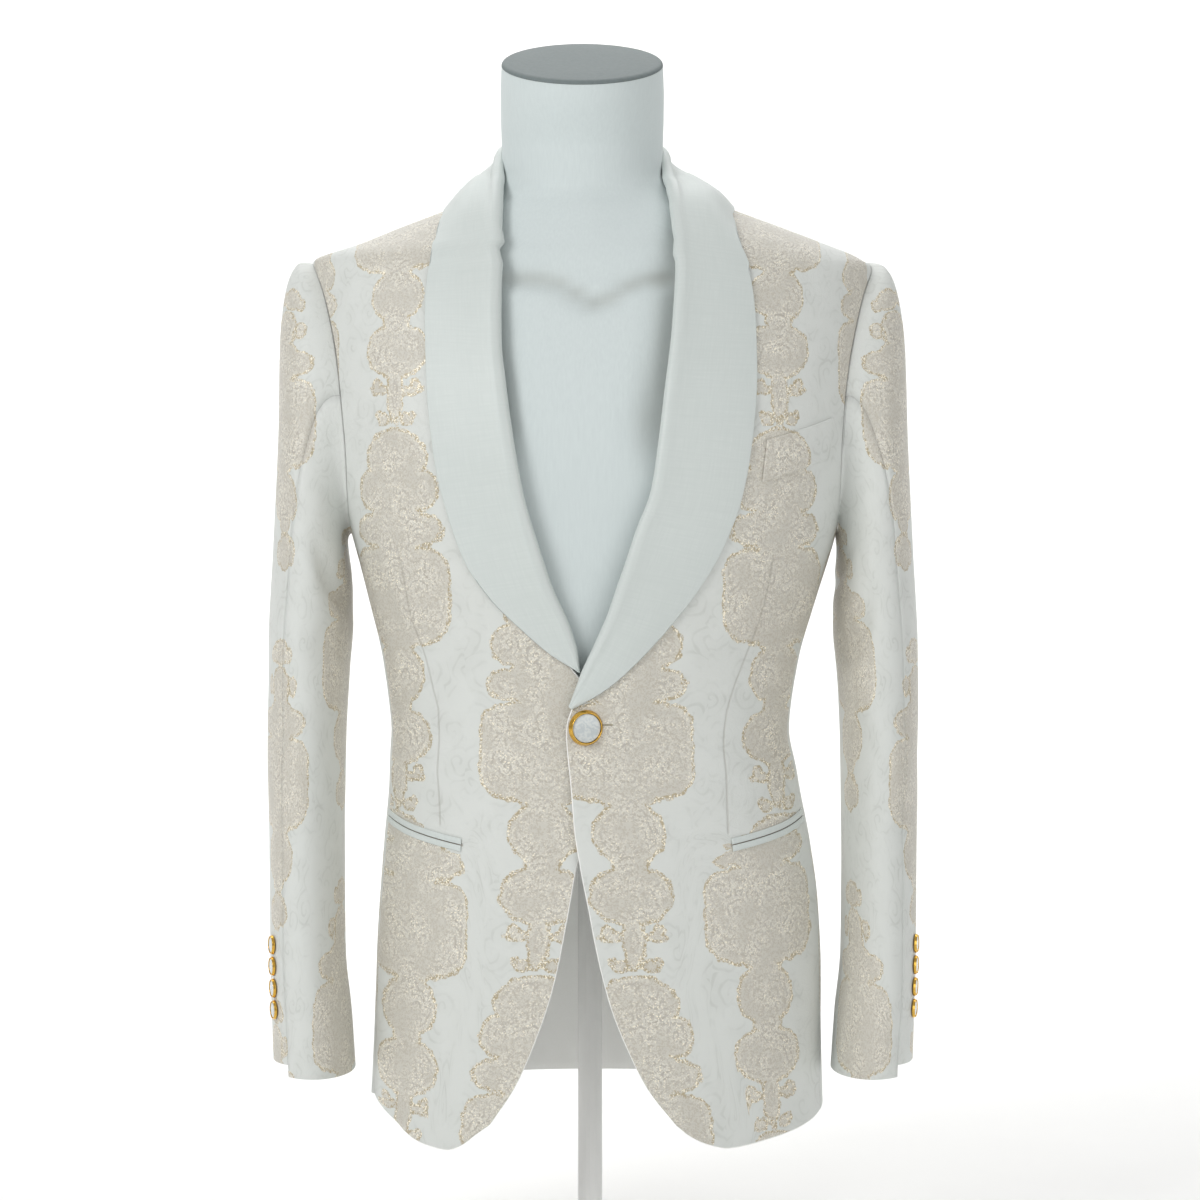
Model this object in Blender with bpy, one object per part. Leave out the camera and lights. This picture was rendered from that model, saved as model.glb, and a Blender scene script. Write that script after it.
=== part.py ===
"""A one-button shawl-collar dinner jacket on a limbless dress form with a table stand.

Metres, +Z up, front towards -Y, origin at the middle of the stand's underside. "Left" is the wearer's left, +X.
The jacket's cloth follows one outer surface, the shell, that closed level sections describe. A place on the
shell is an angle in degrees (0 centre front, 90 wearer's left side, 180 centre back) and a height.
"""
import math

import bmesh
import bpy
import numpy as np

# Cloth and seams
CLOTH = 0.0018
LEFT_LAP = 0.0030
RIGHT_LAP = 0.0021
SATIN = 0.0013
SEAM_GAP = 0.0004
WELT_GAP = 0.0007
SHAWL_GAP = 0.0011
FACING_GAP = 0.0014

# Stand and form
BASE_RADIUS = 0.140
BASE_THICKNESS = 0.010
POLE_RADIUS = 0.0095
FORM_BOTTOM = 0.352
FORM_TOP = 0.868
METRES_PER_DEGREE = 0.0026
CAP_THICKNESS = 0.003

# Heights that the cut is drawn from
SHOULDER_TIP = 0.783
NECK_POINT = 0.8385
BACK_NECK = 0.846
BACK_HEM = 0.126
ARMSCYE_MIDDLE = 0.677
ARMSCYE_HALF_HEIGHT = 0.106
ARMSCYE_HALF_ANGLE = 27.0
BUTTON_HEIGHT = 0.4285
BUTTON_X = -0.003

# Samples along each cut edge
ARMSCYE_STEPS = 24
SIDE_FRONT_STEP = 10
SIDE_BACK_STEP = 15
SEAM_STEPS = 17
FRONT_COLUMNS = 11
SIDE_COLUMNS = SIDE_BACK_STEP - SIDE_FRONT_STEP
BACK_COLUMNS = 8
SLEEVE_RINGS = 19
SHAWL_STEPS = 26
FORM_STEPS = 32

SHELL_COLUMNS = ("height", "half_width", "front", "back", "side_y", "drift", "square")
SHELL_SECTIONS = [
    (0.100, 0.1785, 0.121, 0.126, 0.000, 0.0050, 0.035),
    (0.190, 0.1750, 0.122, 0.127, 0.000, 0.0060, 0.035),
    (0.240, 0.1740, 0.122, 0.125, 0.000, 0.0068, 0.035),
    (0.285, 0.1715, 0.121, 0.120, 0.000, 0.0068, 0.035),
    (0.332, 0.1665, 0.118, 0.111, 0.000, 0.0055, 0.035),
    (0.379, 0.1600, 0.114, 0.103, 0.000, 0.0030, 0.035),
    (0.4255, 0.1565, 0.112, 0.098, 0.000, 0.0000, 0.035),
    (0.472, 0.1620, 0.114, 0.100, 0.000, 0.0006, 0.035),
    (0.519, 0.1740, 0.120, 0.108, 0.000, 0.0018, 0.035),
    (0.565, 0.1870, 0.126, 0.116, 0.000, 0.0030, 0.035),
    (0.620, 0.2020, 0.127, 0.121, 0.002, 0.0030, 0.030),
    (0.680, 0.2130, 0.119, 0.122, 0.006, 0.0025, 0.025),
    (0.730, 0.2170, 0.1040, 0.119, 0.010, 0.0030, 0.020),
    (0.760, 0.2180, 0.0920, 0.115, 0.012, 0.0030, 0.015),
    (0.774, 0.2165, 0.0852, 0.112, 0.013, 0.0030, 0.012),
    (0.785, 0.2085, 0.0800, 0.110, 0.014, 0.0030, 0.010),
    (0.797, 0.1820, 0.0735, 0.107, 0.015, 0.0020, 0.005),
    (0.810, 0.1490, 0.0660, 0.103, 0.016, 0.0010, 0.000),
    (0.824, 0.1120, 0.058, 0.097, 0.017, 0.0000, 0.000),
    (0.836, 0.0850, 0.052, 0.090, 0.017, -0.0030, 0.000),
    (0.846, 0.0720, 0.048, 0.084, 0.016, -0.0050, 0.000),
    (0.862, 0.0676, 0.047, 0.080, 0.015, -0.0060, 0.000),
    (0.885, 0.0662, 0.050, 0.076, 0.013, -0.0060, 0.000),
    (0.910, 0.0658, 0.053, 0.073, 0.010, -0.0060, 0.000),
]

# Soft ridges (+) and troughs (-) that the cloth carries: angle and height where each line on the shell starts
# and where it ends, half its breadth, and its rise
BODY_FOLDS = [
    (-8.0, 0.455, -50.0, 0.520, 0.011, 0.0016),
    (-10.0, 0.435, -46.0, 0.470, 0.010, -0.0013),
    (8.0, 0.455, 50.0, 0.515, 0.011, 0.0016),
    (10.0, 0.436, 44.0, 0.462, 0.010, -0.0012),
    (-64.0, 0.560, -58.0, 0.480, 0.012, -0.0016),
    (64.0, 0.562, 60.0, 0.488, 0.012, -0.0015),
    (-150.0, 0.700, -168.0, 0.560, 0.020, 0.0020),
    (150.0, 0.700, 168.0, 0.560, 0.020, 0.0020),
    (-160.0, 0.420, 160.0, 0.412, 0.014, -0.0016),
    (-125.0, 0.330, -140.0, 0.180, 0.018, 0.0022),
    (125.0, 0.330, 140.0, 0.180, 0.018, 0.0022),
    (-72.0, 0.300, -66.0, 0.150, 0.016, 0.0018),
    (72.0, 0.300, 66.0, 0.150, 0.016, 0.0018),
]

# Cut edges as seen from the front: distance to the wearer's left of the middle, and height
LEFT_FRONT_EDGE = [
    (0.0648, 0.1298), (0.0542, 0.1416), (0.0392, 0.1647), (0.0235, 0.1988), (0.0115, 0.2327),
    (0.0018, 0.2776), (-0.0049, 0.3111), (-0.0079, 0.3282), (-0.0124, 0.3601), (-0.0161, 0.4040),
    (-0.0178, 0.4280), (-0.0172, 0.4395), (-0.0105, 0.4510),
]
LEFT_HEM = [(0.1581, 0.1185), (0.1315, 0.1126), (0.1058, 0.1096), (0.0807, 0.1176), (0.0648, 0.1298)]
RIGHT_FRONT_EDGE = [
    (-0.0748, 0.1293), (-0.0657, 0.1411), (-0.0528, 0.1643), (-0.0385, 0.1986), (-0.0273, 0.2326),
    (-0.0198, 0.2664), (-0.0138, 0.3000), (-0.0086, 0.3282), (-0.0030, 0.3480), (0.0045, 0.3700),
    (0.0110, 0.4040), (0.0125, 0.4280), (0.0070, 0.4450),
]
RIGHT_HEM = [(-0.1620, 0.1345), (-0.1471, 0.1213), (-0.1350, 0.1120), (-0.1092, 0.1070), (-0.0748, 0.1293)]

# The shawl collar's roll and outer edge on the chest, as seen from the front: x and height of each
LEFT_SHAWL = [
    (-0.0152, 0.4440, -0.0128, 0.4420),
    (-0.0041, 0.4650, 0.0110, 0.4560),
    (0.0071, 0.4880, 0.0325, 0.4745),
    (0.0182, 0.5127, 0.0560, 0.4995),
    (0.0283, 0.5411, 0.0790, 0.5285),
    (0.0395, 0.5740, 0.0985, 0.5610),
    (0.0508, 0.6049, 0.1125, 0.5970),
    (0.0562, 0.6400, 0.1200, 0.6350),
    (0.0610, 0.6798, 0.1245, 0.6788),
    (0.0655, 0.7143, 0.1248, 0.7140),
    (0.0684, 0.7477, 0.1237, 0.7450),
    (0.0695, 0.7640, 0.1220, 0.7600),
    (0.0692, 0.7780, 0.1200, 0.7720),
    (0.0687, 0.7890, 0.1170, 0.7830),
    (0.0680, 0.7990, 0.1142, 0.7925),
    (0.0670, 0.8090, 0.1120, 0.8010),
    (0.0658, 0.8190, 0.1105, 0.8090),
    (0.0649, 0.8290, 0.1092, 0.8150),
]
RIGHT_SHAWL = [
    (-0.0072, 0.4690, -0.0098, 0.4706),
    (-0.0123, 0.4835, -0.0300, 0.4832),
    (-0.0197, 0.5045, -0.0500, 0.5005),
    (-0.0330, 0.5336, -0.0764, 0.5273),
    (-0.0440, 0.5670, -0.0943, 0.5560),
    (-0.0535, 0.6000, -0.1070, 0.5929),
    (-0.0602, 0.6350, -0.1150, 0.6270),
    (-0.0640, 0.6600, -0.1190, 0.6560),
    (-0.0675, 0.6870, -0.1215, 0.6860),
    (-0.0706, 0.7150, -0.1230, 0.7200),
    (-0.0712, 0.7477, -0.1235, 0.7480),
    (-0.0711, 0.7640, -0.1225, 0.7630),
    (-0.0710, 0.7780, -0.1212, 0.7740),
    (-0.0712, 0.7890, -0.1200, 0.7840),
    (-0.0713, 0.7990, -0.1182, 0.7930),
    (-0.0713, 0.8090, -0.1165, 0.8010),
    (-0.0712, 0.8190, -0.1150, 0.8085),
    (-0.0713, 0.8290, -0.1130, 0.8145),
]
# The same two lines round the neck, from the collar bone to the centre back: angle and height of each
COLLAR = [
    (64.5, 0.8450, 78.0, 0.8235),
    (79.0, 0.8600, 92.0, 0.8260),
    (98.0, 0.8740, 108.0, 0.8285),
    (122.0, 0.8825, 128.0, 0.8315),
    (150.0, 0.8870, 152.0, 0.8350),
    (179.90, 0.8880, 179.90, 0.8365),
]

SLEEVE_COLUMNS = ("outer_x", "outer_z", "inner_x", "inner_z", "front_y", "back_y", "round_share")
SLEEVE_STATIONS = [
    (0.2150, 0.7830, 0.1900, 0.5710, -0.052, 0.060, 0.00),
    (0.2305, 0.7760, 0.1925, 0.5620, -0.054, 0.064, 0.16),
    (0.2385, 0.7520, 0.1925, 0.5560, -0.056, 0.069, 0.42),
    (0.2430, 0.7050, 0.1915, 0.5480, -0.058, 0.075, 0.78),
    (0.2460, 0.6400, 0.1895, 0.5340, -0.060, 0.079, 1.00),
    (0.2500, 0.5600, 0.1885, 0.5080, -0.061, 0.077, 1.00),
    (0.2538, 0.4800, 0.1910, 0.4620, -0.061, 0.068, 1.00),
    (0.2540, 0.4100, 0.1935, 0.4040, -0.064, 0.058, 1.00),
    (0.2520, 0.3300, 0.1938, 0.3280, -0.070, 0.047, 1.00),
    (0.2510, 0.2500, 0.1930, 0.2500, -0.075, 0.037, 1.00),
    (0.2495, 0.2000, 0.1880, 0.2000, -0.078, 0.032, 1.00),
    (0.2480, 0.1580, 0.1850, 0.1560, -0.080, 0.030, 1.00),
]
SLEEVE_SEAM_COLUMNS = ("share", "front_seam")
SLEEVE_SEAM = [(0.0, 90.0), (0.25, 86.0), (0.42, 66.0), (0.60, 60.0), (1.0, 60.0)]
SLEEVE_DRIFT = 0.0024
CUFF_NOTCH = 0.007
BUTTON_SEAT = 0.0004
CUFF_BUTTONS_TOP = 0.2565
CUFF_BUTTON_SPACING = 0.0166
# Creases of the hanging sleeves: middle as a share of the sleeve and an angle round it, reach in each, tilt and rise
LEFT_CREASES = [
    (0.50, 130.0, 0.030, 40.0, 0.0010, -0.0045),
    (0.60, 100.0, 0.028, 46.0, -0.0012, 0.0020),
    (0.68, 40.0, 0.030, 40.0, 0.0010, -0.0018),
    (0.36, 165.0, 0.030, 34.0, 0.0008, -0.0030),
    (0.56, 250.0, 0.030, 50.0, 0.0010, 0.0026),
    (0.66, 262.0, 0.026, 44.0, -0.0010, -0.0024),
    (0.88, 75.0, 0.050, 22.0, 0.0000, 0.0016),
]
RIGHT_CREASES = [
    (0.42, 138.0, 0.034, 34.0, 0.0006, -0.0070),
    (0.52, 118.0, 0.030, 40.0, -0.0010, -0.0026),
    (0.62, 60.0, 0.030, 44.0, 0.0010, -0.0018),
    (0.55, 255.0, 0.030, 52.0, 0.0010, 0.0026),
    (0.64, 248.0, 0.028, 42.0, -0.0010, -0.0024),
    (0.86, 95.0, 0.060, 24.0, 0.0000, 0.0018),
]

FORM_COLUMNS = ("height", "clearance")
FORM_CLEARANCE = [
    (0.340, 0.0180), (0.372, 0.0105), (0.480, 0.0100), (0.620, 0.0110), (0.720, 0.0100),
    (0.770, 0.0070), (0.786, 0.0050), (0.800, 0.0035), (0.820, 0.0035), (0.836, 0.0056),
    (0.846, 0.0062), (0.868, 0.0042), (0.900, 0.0024),
]
NECK_COLUMNS = ("height", "half_width", "front", "back")
NECK_SECTIONS = [(0.8850, 0.0634, 0.0495, 0.0726), (0.9050, 0.0637, 0.0560, 0.0695), (0.9370, 0.0627, 0.0600, 0.0620)]
NECK_X = -0.006
CAP_SLOPE = 0.34

MATERIALS = {
    "brocade": ((0.74, 0.72, 0.66), 0.55, 0.0),
    "satin": ((0.76, 0.78, 0.76), 0.34, 0.0),
    "jersey": ((0.80, 0.82, 0.82), 0.80, 0.0),
    "cap_grey": ((0.36, 0.40, 0.39), 0.60, 0.0),
    "white_paint": ((0.80, 0.80, 0.80), 0.40, 0.0),
    "gold": ((0.83, 0.58, 0.20), 0.22, 1.0),
    "pearl": ((0.74, 0.78, 0.80), 0.18, 0.0),
}


def through(table, columns, key, value):
    """A monotone cubic through one column of a table, read against another."""
    steps = np.array([row[columns.index(key)] for row in table], float)
    values = np.array([row[columns.index(value)] for row in table], float)
    return through_points(steps, values)


def through_points(steps, values):
    gaps = np.diff(steps)
    rates = np.diff(values) / gaps
    slopes = np.zeros(len(steps))
    slopes[0], slopes[-1] = rates[0], rates[-1]
    for i in range(1, len(steps) - 1):
        if rates[i - 1] * rates[i] > 0:
            before, after = 2 * gaps[i] + gaps[i - 1], gaps[i] + 2 * gaps[i - 1]
            slopes[i] = (before + after) / (before / rates[i - 1] + after / rates[i])

    def read(at):
        at = min(max(at, steps[0]), steps[-1])
        i = min(max(int(np.searchsorted(steps, at)) - 1, 0), len(gaps) - 1)
        s = (at - steps[i]) / gaps[i]
        rise = s * s * (3 - 2 * s)
        turn = slopes[i] * s * (1 - s) ** 2 + slopes[i + 1] * s * s * (s - 1)
        return float(values[i] + (values[i + 1] - values[i]) * rise + turn * gaps[i])

    return read


SECTION = {name: through(SHELL_SECTIONS, SHELL_COLUMNS, "height", name) for name in SHELL_COLUMNS[1:]}


def ease(value, low, high):
    """0 below low, 1 above high, and smooth between."""
    s = min(max((value - low) / (high - low), 0.0), 1.0)
    return s * s * (3 - 2 * s)


def plain_shell(angle, height):
    """The jacket's outer surface with no folds."""
    turn = math.radians(angle)
    side, ahead = math.sin(turn), math.cos(turn)
    square = 1 + SECTION["square"](height) * math.sin(2 * turn) ** 2
    side_y = SECTION["side_y"](height)
    depth = SECTION["front"](height) + side_y if ahead > 0 else SECTION["back"](height) - side_y
    across = SECTION["half_width"](height) * side * square + SECTION["drift"](height)
    return np.array([across, side_y - depth * ahead * square, height])


def fold_rise(angle, height):
    """How far the body's folds lift the cloth at a place."""
    total = 0.0
    for angle_from, height_from, angle_to, height_to, half_breadth, rise in BODY_FOLDS:
        start = np.array([angle_from * METRES_PER_DEGREE, height_from])
        line = np.array([angle_to * METRES_PER_DEGREE, height_to]) - start
        place = np.array([angle * METRES_PER_DEGREE, height]) - start
        along = min(max(float(place @ line / (line @ line)), 0.0), 1.0)
        away = float(np.linalg.norm(place - along * line))
        total += rise * math.exp(-((away / half_breadth) ** 2)) * math.sin(math.pi * (0.12 + 0.76 * along))
    return total


def front_lift(side, angle, height):
    """The left front laps over the right one, so near the middle one lifts and the other sinks."""
    near = 1 - ease(abs(angle + 2), 9.0, 26.0)
    level = ease(height, 0.27, 0.33) * (1 - ease(height, 0.49, 0.58))
    return near * level * (LEFT_LAP if side > 0 else -RIGHT_LAP)


def shell(angle, height, out=0.0, side=0):
    """A point of the cloth's outer face, moved out by out along the face's normal."""
    here = plain_shell(angle, height)
    small_turn, small_rise = 0.4, 0.0012
    across = plain_shell(angle + small_turn, height) - plain_shell(angle - small_turn, height)
    upward = plain_shell(angle, height + small_rise) - plain_shell(angle, height - small_rise)
    normal = np.cross(across, upward)
    normal /= np.linalg.norm(normal)
    return here + normal * (out + fold_rise(angle, height) + front_lift(side, angle, height))


def angle_at(x, height):
    """The angle on the front half whose point is x to the wearer's left."""
    low, high = -89.9, 89.9
    for _ in range(40):
        middle = (low + high) / 2
        if plain_shell(middle, height)[0] < x:
            low = middle
        else:
            high = middle
    return (low + high) / 2


def on_shell(points):
    """Front-view points as places on the shell."""
    return [(angle_at(x, height), height) for x, height in points]


def resampled(places, shares):
    """Places at shares of the length of a smooth curve through the given ones."""
    places = np.array(places, float)
    scaled = places * [METRES_PER_DEGREE, 1.0]
    length = np.concatenate([[0], np.cumsum(np.linalg.norm(np.diff(scaled, axis=0), axis=1))])
    length /= length[-1]
    angle = through_points(length, places[:, 0])
    height = through_points(length, places[:, 1])
    return [(angle(s), height(s)) for s in shares]


def length_shares(places):
    points = np.array([plain_shell(*place) for place in places])
    length = np.concatenate([[0], np.cumsum(np.linalg.norm(np.diff(points, axis=0), axis=1))])
    return length / length[-1]


def patch(bottom, top, first, last):
    """A grid of places that fills four edges: rows go from bottom to top, columns from first to last."""
    bottom, top, first, last = (np.array(edge, float) for edge in (bottom, top, first, last))
    rows, columns = len(first), len(bottom)
    grid = np.zeros((rows, columns, 2))
    for j in range(rows):
        for i in range(columns):
            u, v = i / (columns - 1), j / (rows - 1)
            ruled = (1 - v) * bottom[i] + v * top[i] + (1 - u) * first[j] + u * last[j]
            corners = (1 - u) * ((1 - v) * bottom[0] + v * top[0]) + u * ((1 - v) * bottom[-1] + v * top[-1])
            grid[j, i] = ruled - corners
    return grid


def inset(points, by):
    """Draws a sheet's border in by a small step, towards its next row or column."""
    moved = points.copy()
    for edge, inner, index in ((0, 1, 0), (-1, -2, 0), (0, 1, 1), (-1, -2, 1)):
        border = points[edge] if index == 0 else points[:, edge]
        inside = points[inner] if index == 0 else points[:, inner]
        step = inside - border
        step *= by / np.maximum(np.linalg.norm(step, axis=-1, keepdims=True), 1e-9)
        if index == 0:
            moved[edge] += step
        else:
            moved[:, edge] += step
    return moved


def mesh_object(name, vertices, faces, material, smooth=True):
    mesh = bpy.data.meshes.new(name)
    mesh.from_pydata([tuple(v) for v in vertices], [], faces)
    shape = bmesh.new()
    shape.from_mesh(mesh)
    bmesh.ops.recalc_face_normals(shape, faces=shape.faces)
    shape.to_mesh(mesh)
    shape.free()
    if smooth:
        mesh.shade_smooth()
        mesh.set_sharp_from_angle(angle=math.radians(50))
    mesh.materials.append(MADE[material])
    thing = bpy.data.objects.new(name, mesh)
    bpy.context.scene.collection.objects.link(thing)
    return thing


def wall(name, outer, inner, material):
    """A closed wall between two grids of points with the same rows and columns."""
    rows, columns = outer.shape[:2]
    size = rows * columns
    vertices = np.concatenate([outer.reshape(-1, 3), inner.reshape(-1, 3)])
    faces = []
    for j in range(rows - 1):
        for i in range(columns - 1):
            a = j * columns + i
            quad = (a, a + 1, a + columns + 1, a + columns)
            faces += [quad, tuple(size + k for k in reversed(quad))]
    rim = [i for i in range(columns)]
    rim += [j * columns + columns - 1 for j in range(1, rows)]
    rim += [(rows - 1) * columns + i for i in range(columns - 2, -1, -1)]
    rim += [j * columns for j in range(rows - 2, 0, -1)]
    for k, a in enumerate(rim):
        b = rim[(k + 1) % len(rim)]
        faces.append((b, a, size + a, size + b))
    return mesh_object(name, vertices, faces, material)


def panel(name, places, side, thickness=CLOTH, out=0.0, material="brocade"):
    """A cloth panel whose grid of places lies on the shell."""
    outer = np.array([[shell(a, h, out, side) for a, h in row] for row in places])
    inner = np.array([[shell(a, h, out - thickness, side) for a, h in row] for row in places])
    return wall(name, inset(outer, SEAM_GAP / 2), inset(inner, SEAM_GAP / 2), material)


def armscye(side):
    """The armhole seam as places: from the shoulder tip down the front, under the arm and up the back."""
    places = []
    for k in range(ARMSCYE_STEPS + 1):
        turn = 2 * math.pi * k / ARMSCYE_STEPS
        height = ARMSCYE_MIDDLE + ARMSCYE_HALF_HEIGHT * math.cos(turn)
        places.append((side * (90 - ARMSCYE_HALF_ANGLE * math.sin(turn)), height))
    return places


def seam_down(start, waist_angle, hem_angle, hem_height, side):
    """A seam from the armhole to the hem, bottom first."""
    waist, hip = 0.4255, 0.285
    marks = [
        (side * hem_angle, hem_height),
        (side * (hem_angle + waist_angle) / 2, hip),
        (side * waist_angle, waist),
        (side * (waist_angle + abs(start[0])) / 2, (waist + start[1]) / 2),
        start,
    ]
    return resampled(marks, np.linspace(0, 1, SEAM_STEPS + 1))


def front_panel(side):
    name = "left" if side > 0 else "right"
    edge = LEFT_FRONT_EDGE if side > 0 else RIGHT_FRONT_EDGE
    hem = LEFT_HEM if side > 0 else RIGHT_HEM
    shawl = LEFT_SHAWL if side > 0 else RIGHT_SHAWL
    behind_roll = 0.0066
    opening = on_shell(edge)
    opening += on_shell([(roll_x + side * behind_roll, roll_z) for roll_x, roll_z, _, _ in shawl if roll_z > 0.468])
    opening += [(side * 52.0, 0.830), (side * 70.0, 0.836), (side * 90.0, NECK_POINT)]
    arm = armscye(side)
    side_seam = SIDE_SEAMS[side]["front"]
    first = side_seam + arm[SIDE_FRONT_STEP - 1 :: -1]
    last = resampled(opening, length_shares(first))
    across = np.linspace(0, 1, FRONT_COLUMNS + 1)
    hem_places = [side_seam[0]] + on_shell(hem[1:])
    bottom = resampled(hem_places, across)
    top = [(side * 90.0, SHOULDER_TIP + (NECK_POINT - SHOULDER_TIP) * s) for s in across]
    return panel(f"front_{name}", patch(bottom, top, first, last), side)


def side_panel(side):
    name = "left" if side > 0 else "right"
    arm = armscye(side)
    first, last = SIDE_SEAMS[side]["front"], SIDE_SEAMS[side]["back"]
    across = np.linspace(0, 1, SIDE_COLUMNS + 1)
    bottom = resampled([first[0], ((first[0][0] + last[0][0]) / 2, last[0][1] + 0.001), last[0]], across)
    top = arm[SIDE_FRONT_STEP : SIDE_BACK_STEP + 1]
    return panel(f"side_panel_{name}", patch(bottom, top, first, last), side)


def back_panel(side):
    name = "left" if side > 0 else "right"
    arm = armscye(side)
    seam = SIDE_SEAMS[side]["back"]
    first = seam + arm[SIDE_BACK_STEP + 1 :]
    neck_steps = 5
    centre_steps = len(first) - 1 - neck_steps
    centre = [(side * 180.0, BACK_HEM + (BACK_NECK - BACK_HEM) * k / centre_steps) for k in range(centre_steps)]
    neckline = [(side * 180.0, BACK_NECK), (side * 140.0, BACK_NECK - 0.001), (side * 90.0, NECK_POINT)]
    last = centre + resampled(neckline, np.linspace(0, 1, neck_steps + 1))
    across = np.linspace(0, 1, BACK_COLUMNS + 1)
    bottom = resampled([seam[0], (side * 155.0, BACK_HEM), (side * 180.0, BACK_HEM)], across)
    top = [(side * 90.0, SHOULDER_TIP + (NECK_POINT - SHOULDER_TIP) * s) for s in across]
    return panel(f"back_{name}", patch(bottom, top, first, last), side)


def shawl(side):
    """One half of the shawl collar: an outer leaf, the roll, and an inner leaf that faces the front's edge."""
    name = "left" if side > 0 else "right"
    chest = LEFT_SHAWL if side > 0 else RIGHT_SHAWL
    rows = []
    for roll_x, roll_z, edge_x, edge_z in chest:
        rows.append((angle_at(roll_x, roll_z), roll_z, angle_at(edge_x, edge_z), edge_z))
    rows += [(side * ra, rh, side * ea, eh) for ra, rh, ea, eh in COLLAR]
    rolls = [(row[0], row[1]) for row in rows]
    edges = [(row[2], row[3]) for row in rows]
    marks = length_shares(rolls)
    shares = [0.5 * s + 0.5 * s ** 1.15 for s in np.linspace(0, 1, SHAWL_STEPS + 1)]
    roll = [through_points(marks, np.array(rolls)[:, k]) for k in (0, 1)]
    edge = [through_points(marks, np.array(edges)[:, k]) for k in (0, 1)]
    leaf_stops = (1.0, 0.94, 0.72, 0.46, 0.22, 0.06)
    outer_rows, inner_rows = [], []
    for share in shares:
        roll_place = np.array([roll[0](share), roll[1](share)])
        edge_place = np.array([edge[0](share), edge[1](share)])
        span = edge_place - roll_place
        roll_point, edge_point = shell(*roll_place, side=side), shell(*edge_place, side=side)
        breadth = float(np.linalg.norm(edge_point - roll_point))
        on_neck = ease(share, 0.76, 0.87)
        under = CLOTH + FACING_GAP + SATIN
        inside_out = -(under + (SATIN + 0.0002 - under) * on_neck)
        facing = 0.026 - 0.018 * ease(share, 0.66, 0.74) + 0.026 * ease(share, 0.83, 0.92)
        facing = min(facing, 0.8 * breadth) / breadth
        bridge = 0.0060 * math.sin(math.pi * ease(share, 0.60, 1.0)) + 0.0012
        swell = min(0.0050, 0.10 * breadth)
        outer, inner = [], []
        for stop in leaf_stops:
            place = roll_place + span * stop
            lie = SHAWL_GAP + SATIN
            lie += bridge * math.sin(math.pi * min(1.0, 1.15 * (1 - stop)))
            lie += swell * (1 - stop) ** 3
            outer.append(shell(*place, out=lie, side=side))
            inner.append(shell(*place, out=lie - SATIN, side=side))
        lie_top = SHAWL_GAP + SATIN + swell * 0.9
        away = roll_point - edge_point
        away /= np.linalg.norm(away)
        reach = 0.5 * (lie_top - inside_out) * min(1.0, breadth / 0.02)
        middle_out = 0.5 * (lie_top + inside_out)
        for bend, push in ((0.55, 0.80), (0.0, 1.0), (-0.55, 0.80)):
            level = middle_out + bend * (lie_top - middle_out)
            base = shell(*roll_place, out=level, side=side)
            outer.append(base + away * reach * push)
            thin = shell(*roll_place, out=middle_out + bend * (lie_top - SATIN - middle_out), side=side)
            inner.append(thin + away * max(reach * push - SATIN, 0.0004))
        for stop in (0.12, 0.55, 1.0):
            place = roll_place + span * facing * stop
            outer.append(shell(*place, out=inside_out, side=side))
            inner.append(shell(*place, out=inside_out + SATIN, side=side))
        outer_rows.append(outer)
        inner_rows.append(inner)
    return wall(f"shawl_{name}", inset(np.array(outer_rows), SEAM_GAP / 2), np.array(inner_rows), "satin")


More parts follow.
